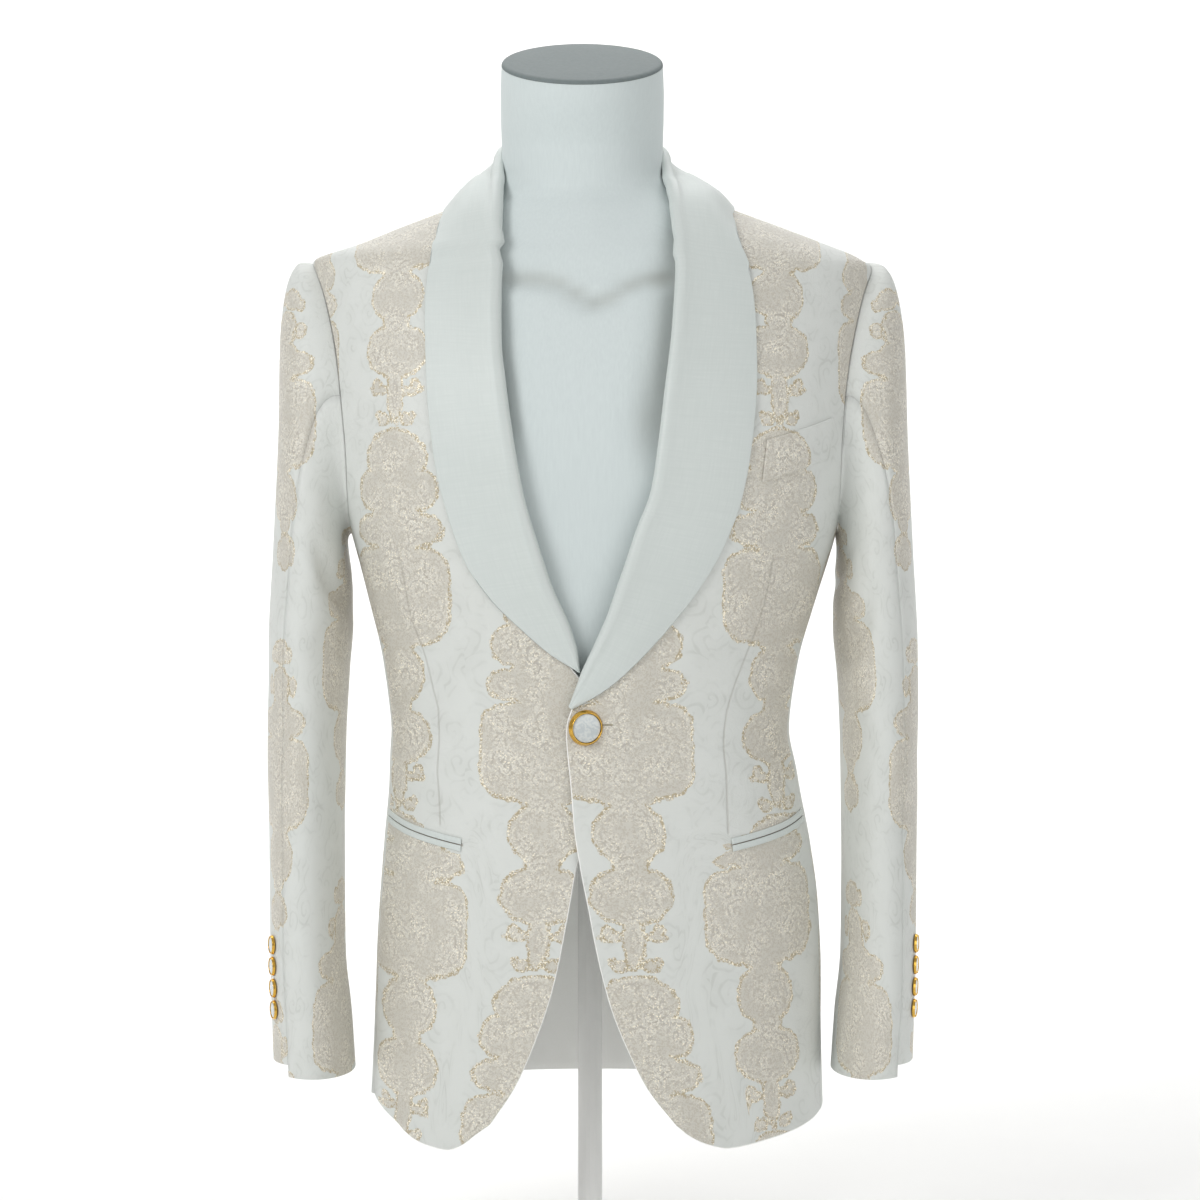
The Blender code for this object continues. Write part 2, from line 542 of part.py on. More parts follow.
def sleeve_reader(side):
    """The sleeve's outer face as a function of a share of its length and an angle round it."""
    shares = np.linspace(0, 1, len(SLEEVE_STATIONS))
    columns = np.array(SLEEVE_STATIONS)
    read = {name: through_points(shares, columns[:, k]) for k, name in enumerate(SLEEVE_COLUMNS)}
    hole = armscye(side)
    outside = np.array([shell(*place, side=side) for place in hole])
    inside = np.array([shell(*place, out=-CLOTH, side=side) for place in hole])
    away = np.roll(outside[:-1], -1, axis=0) - np.roll(outside[:-1], 1, axis=0)
    into_hole = np.cross(outside[:-1] - inside[:-1], away)
    into_hole /= np.linalg.norm(into_hole, axis=1, keepdims=True)
    into_hole *= np.sign((into_hole * (outside[:-1].mean(axis=0) - outside[:-1])).sum(axis=1, keepdims=True))
    shift = np.concatenate([into_hole, into_hole[:1]]) * 0.00025 + np.array([side * 0.0006, 0, 0])
    outside, inside = outside + shift, inside + shift
    creases = LEFT_CREASES if side > 0 else RIGHT_CREASES

    def ring_point(points, angle):
        at = (angle % 360) / (360 / ARMSCYE_STEPS)
        k = int(at)
        return points[k] + (points[min(k + 1, ARMSCYE_STEPS)] - points[k]) * (at - k)

    def smooth_tube(share, angle):
        turn = math.radians(angle)
        outer = np.array([read["outer_x"](share), read["outer_z"](share)])
        inner = np.array([read["inner_x"](share), read["inner_z"](share)])
        middle, half = (outer + inner) / 2, (outer - inner) / 2
        front_y, back_y = read["front_y"](share), read["back_y"](share)
        across = middle + half * math.cos(turn)
        y = (front_y + back_y) / 2 - (back_y - front_y) / 2 * math.sin(turn)
        tube = np.array([side * across[0] + SLEEVE_DRIFT * ease(share, 0.05, 0.35), y, across[1]])
        ring = ring_point(outside, angle)
        round_share = read["round_share"](share) ** (1 - 0.3 * (1 - math.cos(turn)))
        blended = ring + (tube - ring) * round_share
        if round_share < 1:
            lead = np.array([side * (outer[0] - SLEEVE_STATIONS[0][0]), 0, 0])
            blended = blended + lead * (1 - round_share) * max(math.cos(turn), 0) ** 0.5
        return blended

    def read_point(share, angle, out=0.0):
        if share == 0:
            return ring_point(outside if out == 0 else inside, angle)
        step, turn = 0.004, 1.5
        low, high = max(share - step, 0.0), min(share + step, 1.0)
        down = smooth_tube(high, angle) - smooth_tube(low, angle)
        round_it = smooth_tube(share, angle + turn) - smooth_tube(share, angle - turn)
        normal = np.cross(round_it, down) * side
        normal /= np.linalg.norm(normal)
        rise = 0.0
        for middle, at, reach, spread, tilt, height in creases:
            off_angle = (angle - at + 180) % 360 - 180
            off_share = share - middle - tilt * off_angle
            rise += height * math.exp(-((off_share / reach) ** 2) - (off_angle / spread) ** 2)
        return smooth_tube(share, angle) + normal * (out + rise)

    return read_point


def share_at(point, angle, height):
    low, high = 0.0, 1.0
    for _ in range(30):
        middle = (low + high) / 2
        if point(middle, angle)[2] > height:
            low = middle
        else:
            high = middle
    return (low + high) / 2


def sleeve(side):
    name = "left" if side > 0 else "right"
    point = sleeve_reader(side)
    seam = through(SLEEVE_SEAM, SLEEVE_SEAM_COLUMNS, "share", "front_seam")
    steps = ARMSCYE_STEPS // 2
    shares = [s ** 1.12 for s in np.linspace(0, 1, SLEEVE_RINGS)]
    for piece, start in (("sleeve_front", 0.0), ("sleeve_back", 180.0)):
        outer, inner = [], []
        for share in shares:
            notch = CUFF_NOTCH / 0.35 * ease(share, 0.85, 1.0) if piece == "sleeve_back" else 0.0
            turns = [(share - notch * k / steps, seam(share) + start + 180.0 * k / steps) for k in range(steps + 1)]
            outer.append([point(*turn) for turn in turns])
            inner.append([point(*turn, -CLOTH) for turn in turns])
        outer, inner = inset(np.array(outer), SEAM_GAP / 2), inset(np.array(inner), SEAM_GAP / 2)
        wall(f"{piece}_{name}", outer, inner, "brocade")


def strip(name, side, centre_places, breadth, thickness, material, lift=0.0004):
    """A sewn-on strip along places of a panel, with a slight crown, standing off the panel by lift."""
    outer, inner = [], []
    for angle, height in centre_places:
        across = (-0.5, 0.0, 0.5)
        crown = (0.8, 1.0, 0.8)
        outer.append([shell(angle, height + a * breadth, lift + thickness * c, side) for a, c in zip(across, crown)])
        inner.append([shell(angle, height + a * breadth, lift, side) for a in across])
    wall(name, np.array(outer), np.array(inner), material)


def hip_pocket(side):
    """Two satin jets round the pocket's mouth, from the front dart to the side seam."""
    name = "left" if side > 0 else "right"
    line = [(36.5, 0.3385), (46.0, 0.3425), (57.0, 0.3470), (68.0, 0.3515), (76.0, 0.3540)]
    places = [(side * a, h) for a, h in resampled(line, np.linspace(0, 1, 9))]
    jet, mouth = 0.0046, 0.0007
    for piece, way in (("upper", 0.5), ("lower", -0.5)):
        shifted = [(a, h + way * (jet + mouth)) for a, h in places]
        strip(f"pocket_jet_{piece}_{name}", side, shifted, jet, 0.0011, "satin")


def breast_welt():
    """The slanting welt of the breast pocket, on the wearer's left."""
    low, high = (37.5, 0.6115), (57.3, 0.6290)
    depth = 0.0315
    outer, inner = [], []
    for s in np.linspace(0, 1, 6):
        angle, foot = low[0] + (high[0] - low[0]) * s, low[1] + (high[1] - low[1]) * s
        rows = [foot + depth * r for r in (0, 0.33, 0.67, 1)]
        outer.append([shell(angle, h, WELT_GAP + 0.0014, 1) for h in rows])
        inner.append([shell(angle, h, WELT_GAP, 1) for h in rows])
    wall("breast_welt", np.array(outer), np.array(inner), "brocade")


def turned(name, profile, steps, centre, axis, material):
    """A solid turned about an axis; the profile holds (radius, height along the axis) and starts and ends at radius 0."""
    axis = np.array(axis, float) / np.linalg.norm(axis)
    helper = np.array([0, 0, 1.0]) if abs(axis[2]) < 0.9 else np.array([1.0, 0, 0])
    one = np.cross(helper, axis)
    one /= np.linalg.norm(one)
    two = np.cross(axis, one)
    vertices, faces = [], []
    rings = []
    for radius, height in profile:
        ring = []
        for k in range(1 if radius == 0 else steps):
            turn = 2 * math.pi * k / steps
            vertices.append(centre + axis * height + radius * (one * math.cos(turn) + two * math.sin(turn)))
            ring.append(len(vertices) - 1)
        rings.append(ring)
    pairs = list(zip(rings, rings[1:]))
    if profile[0][0] != 0:
        pairs.append((rings[-1], rings[0]))
    for a, b in pairs:
        for k in range(steps):
            corners = [a[k % len(a)], a[(k + 1) % len(a)], b[(k + 1) % len(b)], b[k % len(b)]]
            corners = list(dict.fromkeys(corners))
            if len(corners) > 2:
                faces.append(tuple(corners))
    return mesh_object(name, vertices, faces, material)


def button(name, radius, centre, axis, steps):
    """A gold rim with a raised lip, and the pearl disc set in it."""
    foot, tall, lip = 0.0006, 0.30 * radius, 0.17 * radius
    seat = radius - lip
    rim = [(0, 0), (0.55 * radius, 0), (0.93 * radius, foot), (radius, 0.5 * tall), (radius - 0.4 * lip, tall)]
    rim += [(seat, 0.86 * tall), (seat, 0.45 * tall), (0, 0.45 * tall)]
    turned(f"{name}_rim", rim, steps, centre, axis, "gold")
    gap = 0.0003
    pearl = [(0, 0.45 * tall + gap), (seat - gap, 0.45 * tall + gap), (seat - gap, 0.72 * tall)]
    pearl += [(0.6 * seat, 0.90 * tall), (0, 0.94 * tall)]
    turned(f"{name}_pearl", pearl, steps, centre, axis, "pearl")


def buttons():
    place = angle_at(BUTTON_X, BUTTON_HEIGHT)
    foot = shell(place, BUTTON_HEIGHT, 0.0006, 1)
    button("front_button", 0.0130, foot + np.array([0, -0.0006, 0]), (0.10, -1.0, -0.06), 20)
    for side in (-1, 1):
        name = "left" if side > 0 else "right"
        point = sleeve_reader(side)
        for k in range(4):
            angle = 27.0 if side > 0 else 36.0
            share = share_at(point, angle, CUFF_BUTTONS_TOP - CUFF_BUTTON_SPACING * k)
            around, seat = point(share, angle), point(share, angle, BUTTON_SEAT)
            normal = (seat - around) / np.linalg.norm(seat - around)
            button(f"cuff_button_{name}_{k + 1}", 0.0072, seat, normal, 12)


def form():
    """The dress form: a smooth torso from the hip to the neck, its slanting cap, the pole and the base."""
    clear = through(FORM_CLEARANCE, FORM_COLUMNS, "height", "clearance")
    neck = {name: through(NECK_SECTIONS, NECK_COLUMNS, "height", name) for name in NECK_COLUMNS[1:]}
    cap_mid = 0.9345
    under_collar = 0.0028
    body_levels = [FORM_BOTTOM, 0.358, 0.375, 0.41, 0.45, 0.49, 0.53, 0.57, 0.61, 0.65, 0.69, 0.725, 0.75, 0.770]
    body_levels += [0.784, 0.794, 0.803, 0.812, 0.821, 0.830, 0.839, 0.852, FORM_TOP]
    rings = []
    for level in body_levels:
        ring = []
        for k in range(FORM_STEPS):
            angle = 360.0 * k / FORM_STEPS - 180
            fore = 1 - ease(abs(angle), 52.0, 78.0)
            gap = clear(level) + under_collar * fore * ease(level, 0.735, 0.775) * (1 - ease(level, 0.832, 0.850))
            here = plain_shell(angle, level)
            axis_y = SECTION["side_y"](level)
            inward = np.array([here[0] - SECTION["drift"](level), here[1] - axis_y, 0])
            tip = 1 - 0.035 * ease(level, 0.70, 0.775) * (1 - ease(level, 0.786, 0.80)) * abs(math.sin(math.radians(angle))) ** 6
            inward *= tip
            length = np.linalg.norm(inward)
            steep = 1 + 1.1 * ease(level, 0.780, 0.795) * (1 - ease(level, 0.826, 0.845)) * abs(math.sin(math.radians(angle)))
            drift = SECTION["drift"](level) if level > 0.6 else SECTION["drift"](level) * 0.5
            ring.append(np.array([drift, axis_y, level]) + inward * (1 - gap * steep / length))
        rings.append(ring)
    for share in (0.35, 0.62, 0.86, 1.0):
        height = FORM_TOP + (cap_mid - FORM_TOP) * share
        ring = []
        for k in range(FORM_STEPS):
            turn = math.radians(360.0 * k / FORM_STEPS - 180)
            ahead = math.cos(turn)
            depth = neck["front"](height) if ahead > 0 else neck["back"](height)
            depth_mid = 0.5 * (neck["back"](height) - neck["front"](height))
            half_depth = 0.5 * (neck["front"](height) + neck["back"](height))
            x = NECK_X + neck["half_width"](height) * math.sin(turn)
            y = depth_mid - half_depth * ahead
            ring.append(np.array([x, y, height + share ** 2 * CAP_SLOPE * y]))
        rings.append(ring)
    cap_ring = np.array(rings[-1])
    vertices = [v for ring in rings for v in ring]
    faces = []
    for j in range(len(rings) - 1):
        for k in range(FORM_STEPS):
            a, b = j * FORM_STEPS + k, j * FORM_STEPS + (k + 1) % FORM_STEPS
            faces.append((a, b, b + FORM_STEPS, a + FORM_STEPS))
    faces.append(tuple(reversed(range(FORM_STEPS))))
    last = (len(rings) - 1) * FORM_STEPS
    faces.append(tuple(range(last, last + FORM_STEPS)))
    mesh_object("form_torso", vertices, faces, "jersey")
    normal = np.array([0, -CAP_SLOPE, 1]) / math.hypot(CAP_SLOPE, 1)
    middle = cap_ring.mean(axis=0)
    lifted = cap_ring + normal * 0.0003
    crown = [lifted, lifted + normal * 0.6 * CAP_THICKNESS, middle + (lifted - middle) * 0.965 + normal * CAP_THICKNESS]
    vertices = [v for ring in crown for v in ring]
    faces = [tuple(reversed(range(FORM_STEPS))), tuple(range(2 * FORM_STEPS, 3 * FORM_STEPS))]
    for j in range(2):
        for k in range(FORM_STEPS):
            a, b = j * FORM_STEPS + k, j * FORM_STEPS + (k + 1) % FORM_STEPS
            faces.append((a, b, b + FORM_STEPS, a + FORM_STEPS))
    mesh_object("neck_cap", vertices, faces, "cap_grey")


def stand():
    edge = 0.0025
    plate = [(0, 0), (BASE_RADIUS - edge, 0), (BASE_RADIUS, edge), (BASE_RADIUS, BASE_THICKNESS - edge)]
    plate += [(BASE_RADIUS - edge, BASE_THICKNESS), (0, BASE_THICKNESS)]
    origin = np.zeros(3)
    turned("stand_base", plate, 48, origin, (0, 0, 1), "white_paint")
    foot, top = BASE_THICKNESS + 0.0003, FORM_BOTTOM - 0.0003
    collar_radius, collar_height = 0.017, 0.014
    pole = [(0, foot), (collar_radius, foot), (collar_radius, foot + collar_height)]
    pole += [(POLE_RADIUS, foot + collar_height), (POLE_RADIUS, top), (0, top)]
    turned("stand_pole", pole, 20, origin, (0, 0, 1), "white_paint")


for leftover in list(bpy.data.objects):
    bpy.data.objects.remove(leftover)
MADE = {}
for material_name, (colour, roughness, metallic) in MATERIALS.items():
    made = bpy.data.materials.new(material_name)
    made.use_nodes = True
    shader = made.node_tree.nodes["Principled BSDF"]
    shader.inputs["Base Color"].default_value = (*colour, 1.0)
    shader.inputs["Roughness"].default_value = roughness
    shader.inputs["Metallic"].default_value = metallic
    made.diffuse_color = (*colour, 1.0)
    MADE[material_name] = made

SIDE_SEAMS = {}
for way in (-1, 1):
    hole = armscye(way)
    front_hem = 0.1235 if way > 0 else 0.1365
    SIDE_SEAMS[way] = {
        "front": seam_down(hole[SIDE_FRONT_STEP], 78.0, 76.0, front_hem, way),
        "back": seam_down(hole[SIDE_BACK_STEP], 124.0, 126.0, 0.1280, way),
    }

form()
stand()
for way in (-1, 1):
    front_panel(way)
    side_panel(way)
    back_panel(way)
    shawl(way)
    sleeve(way)
    hip_pocket(way)
breast_welt()
buttons()
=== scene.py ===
import math

import bmesh
import bpy
import numpy as np
from mathutils import Matrix, Vector


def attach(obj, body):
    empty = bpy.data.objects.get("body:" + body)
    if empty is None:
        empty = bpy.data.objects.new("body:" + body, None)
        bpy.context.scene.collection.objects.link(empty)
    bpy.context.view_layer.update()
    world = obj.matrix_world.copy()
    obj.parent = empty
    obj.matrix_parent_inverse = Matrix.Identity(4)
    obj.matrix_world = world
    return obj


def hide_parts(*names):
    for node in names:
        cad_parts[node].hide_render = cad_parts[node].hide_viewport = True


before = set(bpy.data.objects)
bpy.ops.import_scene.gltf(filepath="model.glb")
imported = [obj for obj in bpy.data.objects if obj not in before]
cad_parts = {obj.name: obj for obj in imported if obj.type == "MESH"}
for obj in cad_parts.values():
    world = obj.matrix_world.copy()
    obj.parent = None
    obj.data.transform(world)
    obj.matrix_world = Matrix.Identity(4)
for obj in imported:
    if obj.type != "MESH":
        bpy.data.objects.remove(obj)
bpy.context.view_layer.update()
bpy.ops.object.select_all(action="DESELECT")
print("frame loaded")

sideNames = {-1: "right", 1: "left"}  # the wearer's

# camera and picture

view = {
    "frameSize": 1200,
    "focalPixels": 3072,
    "sensor": 36.0,
    "place": (0.0078, -2.4, 0.613),
    "dropPixels": 120,  # how far the horizon lies above the frame's middle
}


def makeCamera():
    bpy.ops.object.camera_add(location=view["place"])
    camera = bpy.context.object
    camera.data.sensor_width = view["sensor"]
    camera.data.lens = view["focalPixels"] / view["frameSize"] * view["sensor"]
    camera.rotation_euler = (math.pi / 2 - math.atan(view["dropPixels"] / view["focalPixels"]), 0, 0)
    bpy.context.scene.camera = camera
    bpy.context.scene.view_settings.view_transform = "Standard"


makeCamera()

# materials

def hexColour(code):
    values = [int(code[i : i + 2], 16) / 255 for i in (1, 3, 5)]
    return tuple(v / 12.92 if v <= 0.04045 else ((v + 0.055) / 1.055) ** 2.4 for v in values) + (1.0,)


settingNames = {
    "VectorMath": "operation",
    "TexNoise": "noise_dimensions",
    "TexVoronoi": "voronoi_dimensions",
    "TexWave": "bands_direction",
    "Attribute": "attribute_name",
    "UVMap": "uv_map",
}


def fillSockets(tree, made, node, sources):
    # a source is a number, a colour, or an earlier node's name, with its output's name after a dot
    for socket, source in sources.items():
        if isinstance(source, str) and source[0] != "#":
            name, _, output = source.partition(".")
            tree.links.new(made[name].outputs[output or 0], node.inputs[socket])
        else:
            node.inputs[socket].default_value = hexColour(source) if isinstance(source, str) else source


def addNode(tree, made, name, kind, *sources):
    # the kind is a node with its setting, or the operation of a Math node
    kind, _, setting = kind.partition(" ")
    node = tree.nodes.new("ShaderNode" + ("Math" if kind.isupper() else kind))
    if kind.isupper():
        node.operation = kind
    if setting:
        setattr(node, settingNames[kind], setting)
    byName = sources and isinstance(sources[0], dict)
    fillSockets(tree, made, node, sources[0] if byName else dict(enumerate(sources)))
    made[name] = node


def makeMaterial(name, nodes, surface):
    material = bpy.data.materials.new(name)
    material.use_nodes = True
    tree, made = material.node_tree, {}
    for row in nodes:
        addNode(tree, made, *row)
    fillSockets(tree, made, tree.nodes["Principled BSDF"], surface)
    return material


brocade = {
    "pitch": 0.128,  # from one column of the pattern to the next
    "repeat": 0.293,  # down one column
    "drop": 0.1155,  # how much higher every other column sits
    "start": -0.128,  # where a repeat begins, below the middle of its widest lobe
    "ground": "#D9DCD8",
    "groundScroll": "#CBCEC9",
    "figure": "#D4D1C7",
    "figureScroll": "#B1ACA4",
    "haze": "#CAC7BD",
    "darkThread": "#B3A996",
    "paleThread": "#E9E6DA",
    "goldThread": "#AB9A74",
    # near-white colour of the painted highlights on the metal thread and in the figure
    "paintedGlint": "#FBF4E0",
    # colour of the painted shade in the darts and the pocket's mouth
    "seamShade": "#8E857A",
    "roughness": 0.52,
    "outline": 0.0017,
    "wander": 0.0042,  # how far a woven edge strays
    "thread": 0.0009,  # real threads are 0.3 mm; drawn coarse enough to show
    "curl": 0.008,  # how far the scrolls are bent
    # one column's lobes, mirrored about its axis: across, down, half width and half height in millimetres
    "lobes": [
        (0, -106, 31, 21), (15, -104, 18, 17), (0, -80, 30, 25), (24, -80, 19, 17), (0, -52, 32, 24),
        (26, -50, 21, 13), (0, 0, 40, 44), (24, 0, 29, 38), (34, -16, 19, 20), (33, 13, 20, 22),
        (0, 57, 20, 27), (9, 61, 19, 21), (0, 82, 15, 14), (0, 107, 25, 24), (11, 107, 22, 20),
        (0, 140, 9.5, 24), (16, 138, 12, 4.5), (20, 134, 6, 5), (12, 160, 7, 5.5), (17, 157, 4, 4),
    ],
    # scrolls: name, cell, spacing of the spiral's turns, contrast and level
    "scrolls": [("fine", 0.017, 0.0052, 1.6, -0.25), ("broad", 0.024, 0.0075, 0.9, -0.30)],
    # painted shade lines on the cloth, along the darts and in the pocket's mouth: attribute, half breadth,
    # depth of shade
    "lines": [("dart", 0.0011, 0.30), ("mouth", 0.0015, 1.0)],
}


def brocadeNodes(b):
    nodes = [
        ("weave", "UVMap weave"),
        ("parts", "SeparateXYZ", "weave"),
        ("extra", "Attribute higher"),
        ("extra", "SeparateXYZ", "extra.Vector"),
        ("wander", "TexNoise 2D", {"Vector": "weave", "Scale": 130.0, "Detail": 1.0}),
        # which column, how far from its axis and how far down its repeat
        ("column", "DIVIDE", "parts.X", b["pitch"]),
        ("column", "ROUND", "column"),
        ("middle", "MULTIPLY", "column", b["pitch"]),
        ("across", "SUBTRACT", "parts.X", "middle"),
        ("beside", "ABSOLUTE", "across"),
        ("odd", "PINGPONG", "column", 1.0),
        ("raised", "ADD", "extra.Z", b["drop"]),
        ("raised", "MULTIPLY", "raised", "odd"),
        ("down", "SUBTRACT", "raised", "parts.Y"),
        ("down", "WRAP", "down", b["start"] + b["repeat"], b["start"]),
        ("mirrored", "CombineXYZ", "beside", "down"),
        ("inside", "ADD", 0.0, -1.0),
    ]
    for across, down, halfWide, halfTall in b["lobes"]:
        small = min(halfWide, halfTall) / 1000
        nodes += [
            ("away", "VectorMath SUBTRACT", "mirrored", (across / 1000, down / 1000, 0)),
            ("away", "VectorMath DIVIDE", "away", (halfWide / 1000, halfTall / 1000, 1)),
            ("away", "VectorMath LENGTH", "away"),
            ("lobe", "MULTIPLY_ADD", "away.Value", -small, small),
            ("inside", "MAXIMUM", "inside", "lobe"),
        ]
    nodes += [
        # slimmer columns on the sleeves, but for the widest lobe
        ("past", "SUBTRACT", "down", 0.012),
        ("past", "ABSOLUTE", "past"),
        ("past", "MULTIPLY_ADD", "past", 40.0, -2.6),
        ("past", "MAXIMUM", "past", 0.0),
        ("past", "MINIMUM", "past", 1.0),
        ("slim", "MULTIPLY", "extra.X", "past"),
        ("inside", "SUBTRACT", "inside", "slim"),
        ("wander", "SUBTRACT", "wander", 0.5),
        ("inside", "MULTIPLY_ADD", "wander", b["wander"], "inside"),
        # the figure, its metal outline, a line beside that, and the middle
        ("figure", "MULTIPLY_ADD", "inside", 1400.0, 0.5),
        ("rim", "SUBTRACT", "inside", b["outline"] * 0.7),
        ("rim", "ABSOLUTE", "rim"),
        ("rim", "DIVIDE", "rim", b["outline"]),
        ("rim", "MULTIPLY_ADD", "rim", -2.2, 2.2),
        ("echo", "SUBTRACT", "inside", 0.0065),
        ("echo", "ABSOLUTE", "echo"),
        ("echo", "MULTIPLY_ADD", "echo", -900.0, 1.1),
        ("core", "MULTIPLY_ADD", "inside", 500.0, -3.0),
    ]
    nodes += [(name, "Clamp", name) for name in ("figure", "rim", "echo", "core")]
    nodes += [
        ("bent", "TexNoise 2D", {"Vector": "mirrored", "Scale": 60.0, "Detail": 1.0}),
        ("bent", "VectorMath SUBTRACT", "bent.Color", (0.5, 0.5, 0.5)),
        ("bent", "VectorMath SCALE", {0: "bent", "Scale": b["curl"]}),
        ("curled", "VectorMath ADD", "mirrored", "bent"),
    ]
    for name, cell, spacing, contrast, level in b["scrolls"]:
        # a spiral round each cell's middle, wound either way
        nodes += [
            ("cells", "TexVoronoi 2D", {"Vector": "curled", "Scale": 1 / cell, "Randomness": 0.8}),
            ("local", "VectorMath SUBTRACT", "curled", "cells.Position"),
            ("offset", "SeparateXYZ", "local"),
            ("reach", "VectorMath LENGTH", "local"),
            ("pick", "SeparateXYZ", "cells.Color"),
            ("turn", "ARCTAN2", "offset.Y", "offset.X"),
            ("way", "GREATER_THAN", "pick.X", 0.5),
            ("way", "MULTIPLY_ADD", "way", 2.0, -1.0),
            ("turn", "MULTIPLY", "turn", "way"),
            ("spiral", "MULTIPLY", "reach.Value", 2 * math.pi / spacing),
            ("spiral", "ADD", "spiral", "turn"),
            ("spiral", "SINE", "spiral"),
            (name, "MULTIPLY_ADD", "spiral", contrast, level),
            (name, "Clamp", name),
        ]
    nodes += [
        ("specks", "TexVoronoi 2D", {"Vector": "weave", "Scale": 1 / b["thread"]}),
        ("speck", "SeparateXYZ", "specks.Color"),
        ("patches", "TexNoise 2D", {"Vector": "weave", "Scale": 42.0, "Detail": 3.0}),
        # faint scrolls on the ground
        ("cloud", "MULTIPLY_ADD", "patches", 4.0, -1.6),
        ("groundScroll", "MULTIPLY", "broad", "cloud"),
        ("groundScroll", "MULTIPLY_ADD", "cloud", 0.25, "groundScroll"),
        ("groundScroll", "MAXIMUM", "groundScroll", 0.0),
        ("groundScroll", "MINIMUM", "groundScroll", 1.0),
        # scrolls, haze and single threads in the figure
        ("scrolls", "MULTIPLY", "fine", "core"),
        ("scrolls", "MAXIMUM", "scrolls", "echo"),
        ("scrolls", "MULTIPLY", "scrolls", "patches"),
        ("scrolls", "MULTIPLY", "scrolls", 1.1),
        ("haze", "MULTIPLY_ADD", "patches", -4.0, 2.2),
        ("haze", "MAXIMUM", "haze", 0.0),
        ("haze", "MINIMUM", "haze", 0.6),
        ("dense", "MULTIPLY_ADD", "patches", 2.2, -0.75),
        ("dark", "LESS_THAN", "speck.X", 0.34),
        ("dark", "MULTIPLY", "dark", 0.36),
        ("pale", "GREATER_THAN", "speck.X", 0.70),
        ("pale", "MULTIPLY", "pale", "dense"),
        # metal thread along the outline, and painted highlights: near-white glints on some of its dots and
        # specks in the figure
        ("rimDot", "GREATER_THAN", "speck.Y", 0.42),
        ("gold", "MULTIPLY", "rim", "rimDot"),
        ("goldAmount", "MULTIPLY", "gold", 0.72),
        ("flash", "GREATER_THAN", "speck.Y", 0.86),
        ("flash", "MULTIPLY", "flash", "rim"),
        ("sparkle", "GREATER_THAN", "speck.X", 0.93),
        ("sparkle", "MULTIPLY", "sparkle", "figure"),
        ("sparkle", "MULTIPLY", "sparkle", "dense"),
        ("flash", "MAXIMUM", "flash", "sparkle"),
        ("groundColour", "MixRGB", "groundScroll", b["ground"], b["groundScroll"]),
        ("colour", "MixRGB", "scrolls", b["figure"], b["figureScroll"]),
        ("colour", "MixRGB", "haze", "colour", b["haze"]),
        ("colour", "MixRGB", "dark", "colour", b["darkThread"]),
        ("colour", "MixRGB", "pale", "colour", b["paleThread"]),
        ("colour", "MixRGB", "figure", "groundColour", "colour"),
        ("colour", "MixRGB", "goldAmount", "colour", b["goldThread"]),
        ("colour", "MixRGB", "flash", "colour", b["paintedGlint"]),
    ]
    # painted shade: each line darkens the colour towards the seam shade colour
    for name, halfBreadth, depth in b["lines"]:
        nodes += [
            ("off", "Attribute " + name),
            ("off", "VectorMath DISTANCE", "off.Vector", (0, 0, 1)),
            (name, "MULTIPLY_ADD", "off.Value", -1 / halfBreadth, 1.2),
            (name, "Clamp", name),
            ("shade", "MULTIPLY", name, depth),
            ("colour", "MixRGB", "shade", "colour", b["seamShade"]),
        ]
    return nodes + [
        ("gloss", "MAXIMUM", "gold", "flash"),
        ("rough", "MULTIPLY_ADD", "gloss", -0.08, b["roughness"]),
        ("metal", "MULTIPLY", "gold", 0.2),
        ("relief", "MULTIPLY", "figure", 0.5),
        ("relief", "MULTIPLY_ADD", "speck.X", 0.25, "relief"),
        ("relief", "MULTIPLY_ADD", "fine", 0.2, "relief"),
        ("relief", "MULTIPLY_ADD", "dart", -2.2, "relief"),
        ("bump", "Bump", {"Height": "relief", "Strength": 0.35, "Distance": 0.0006}),
    ]


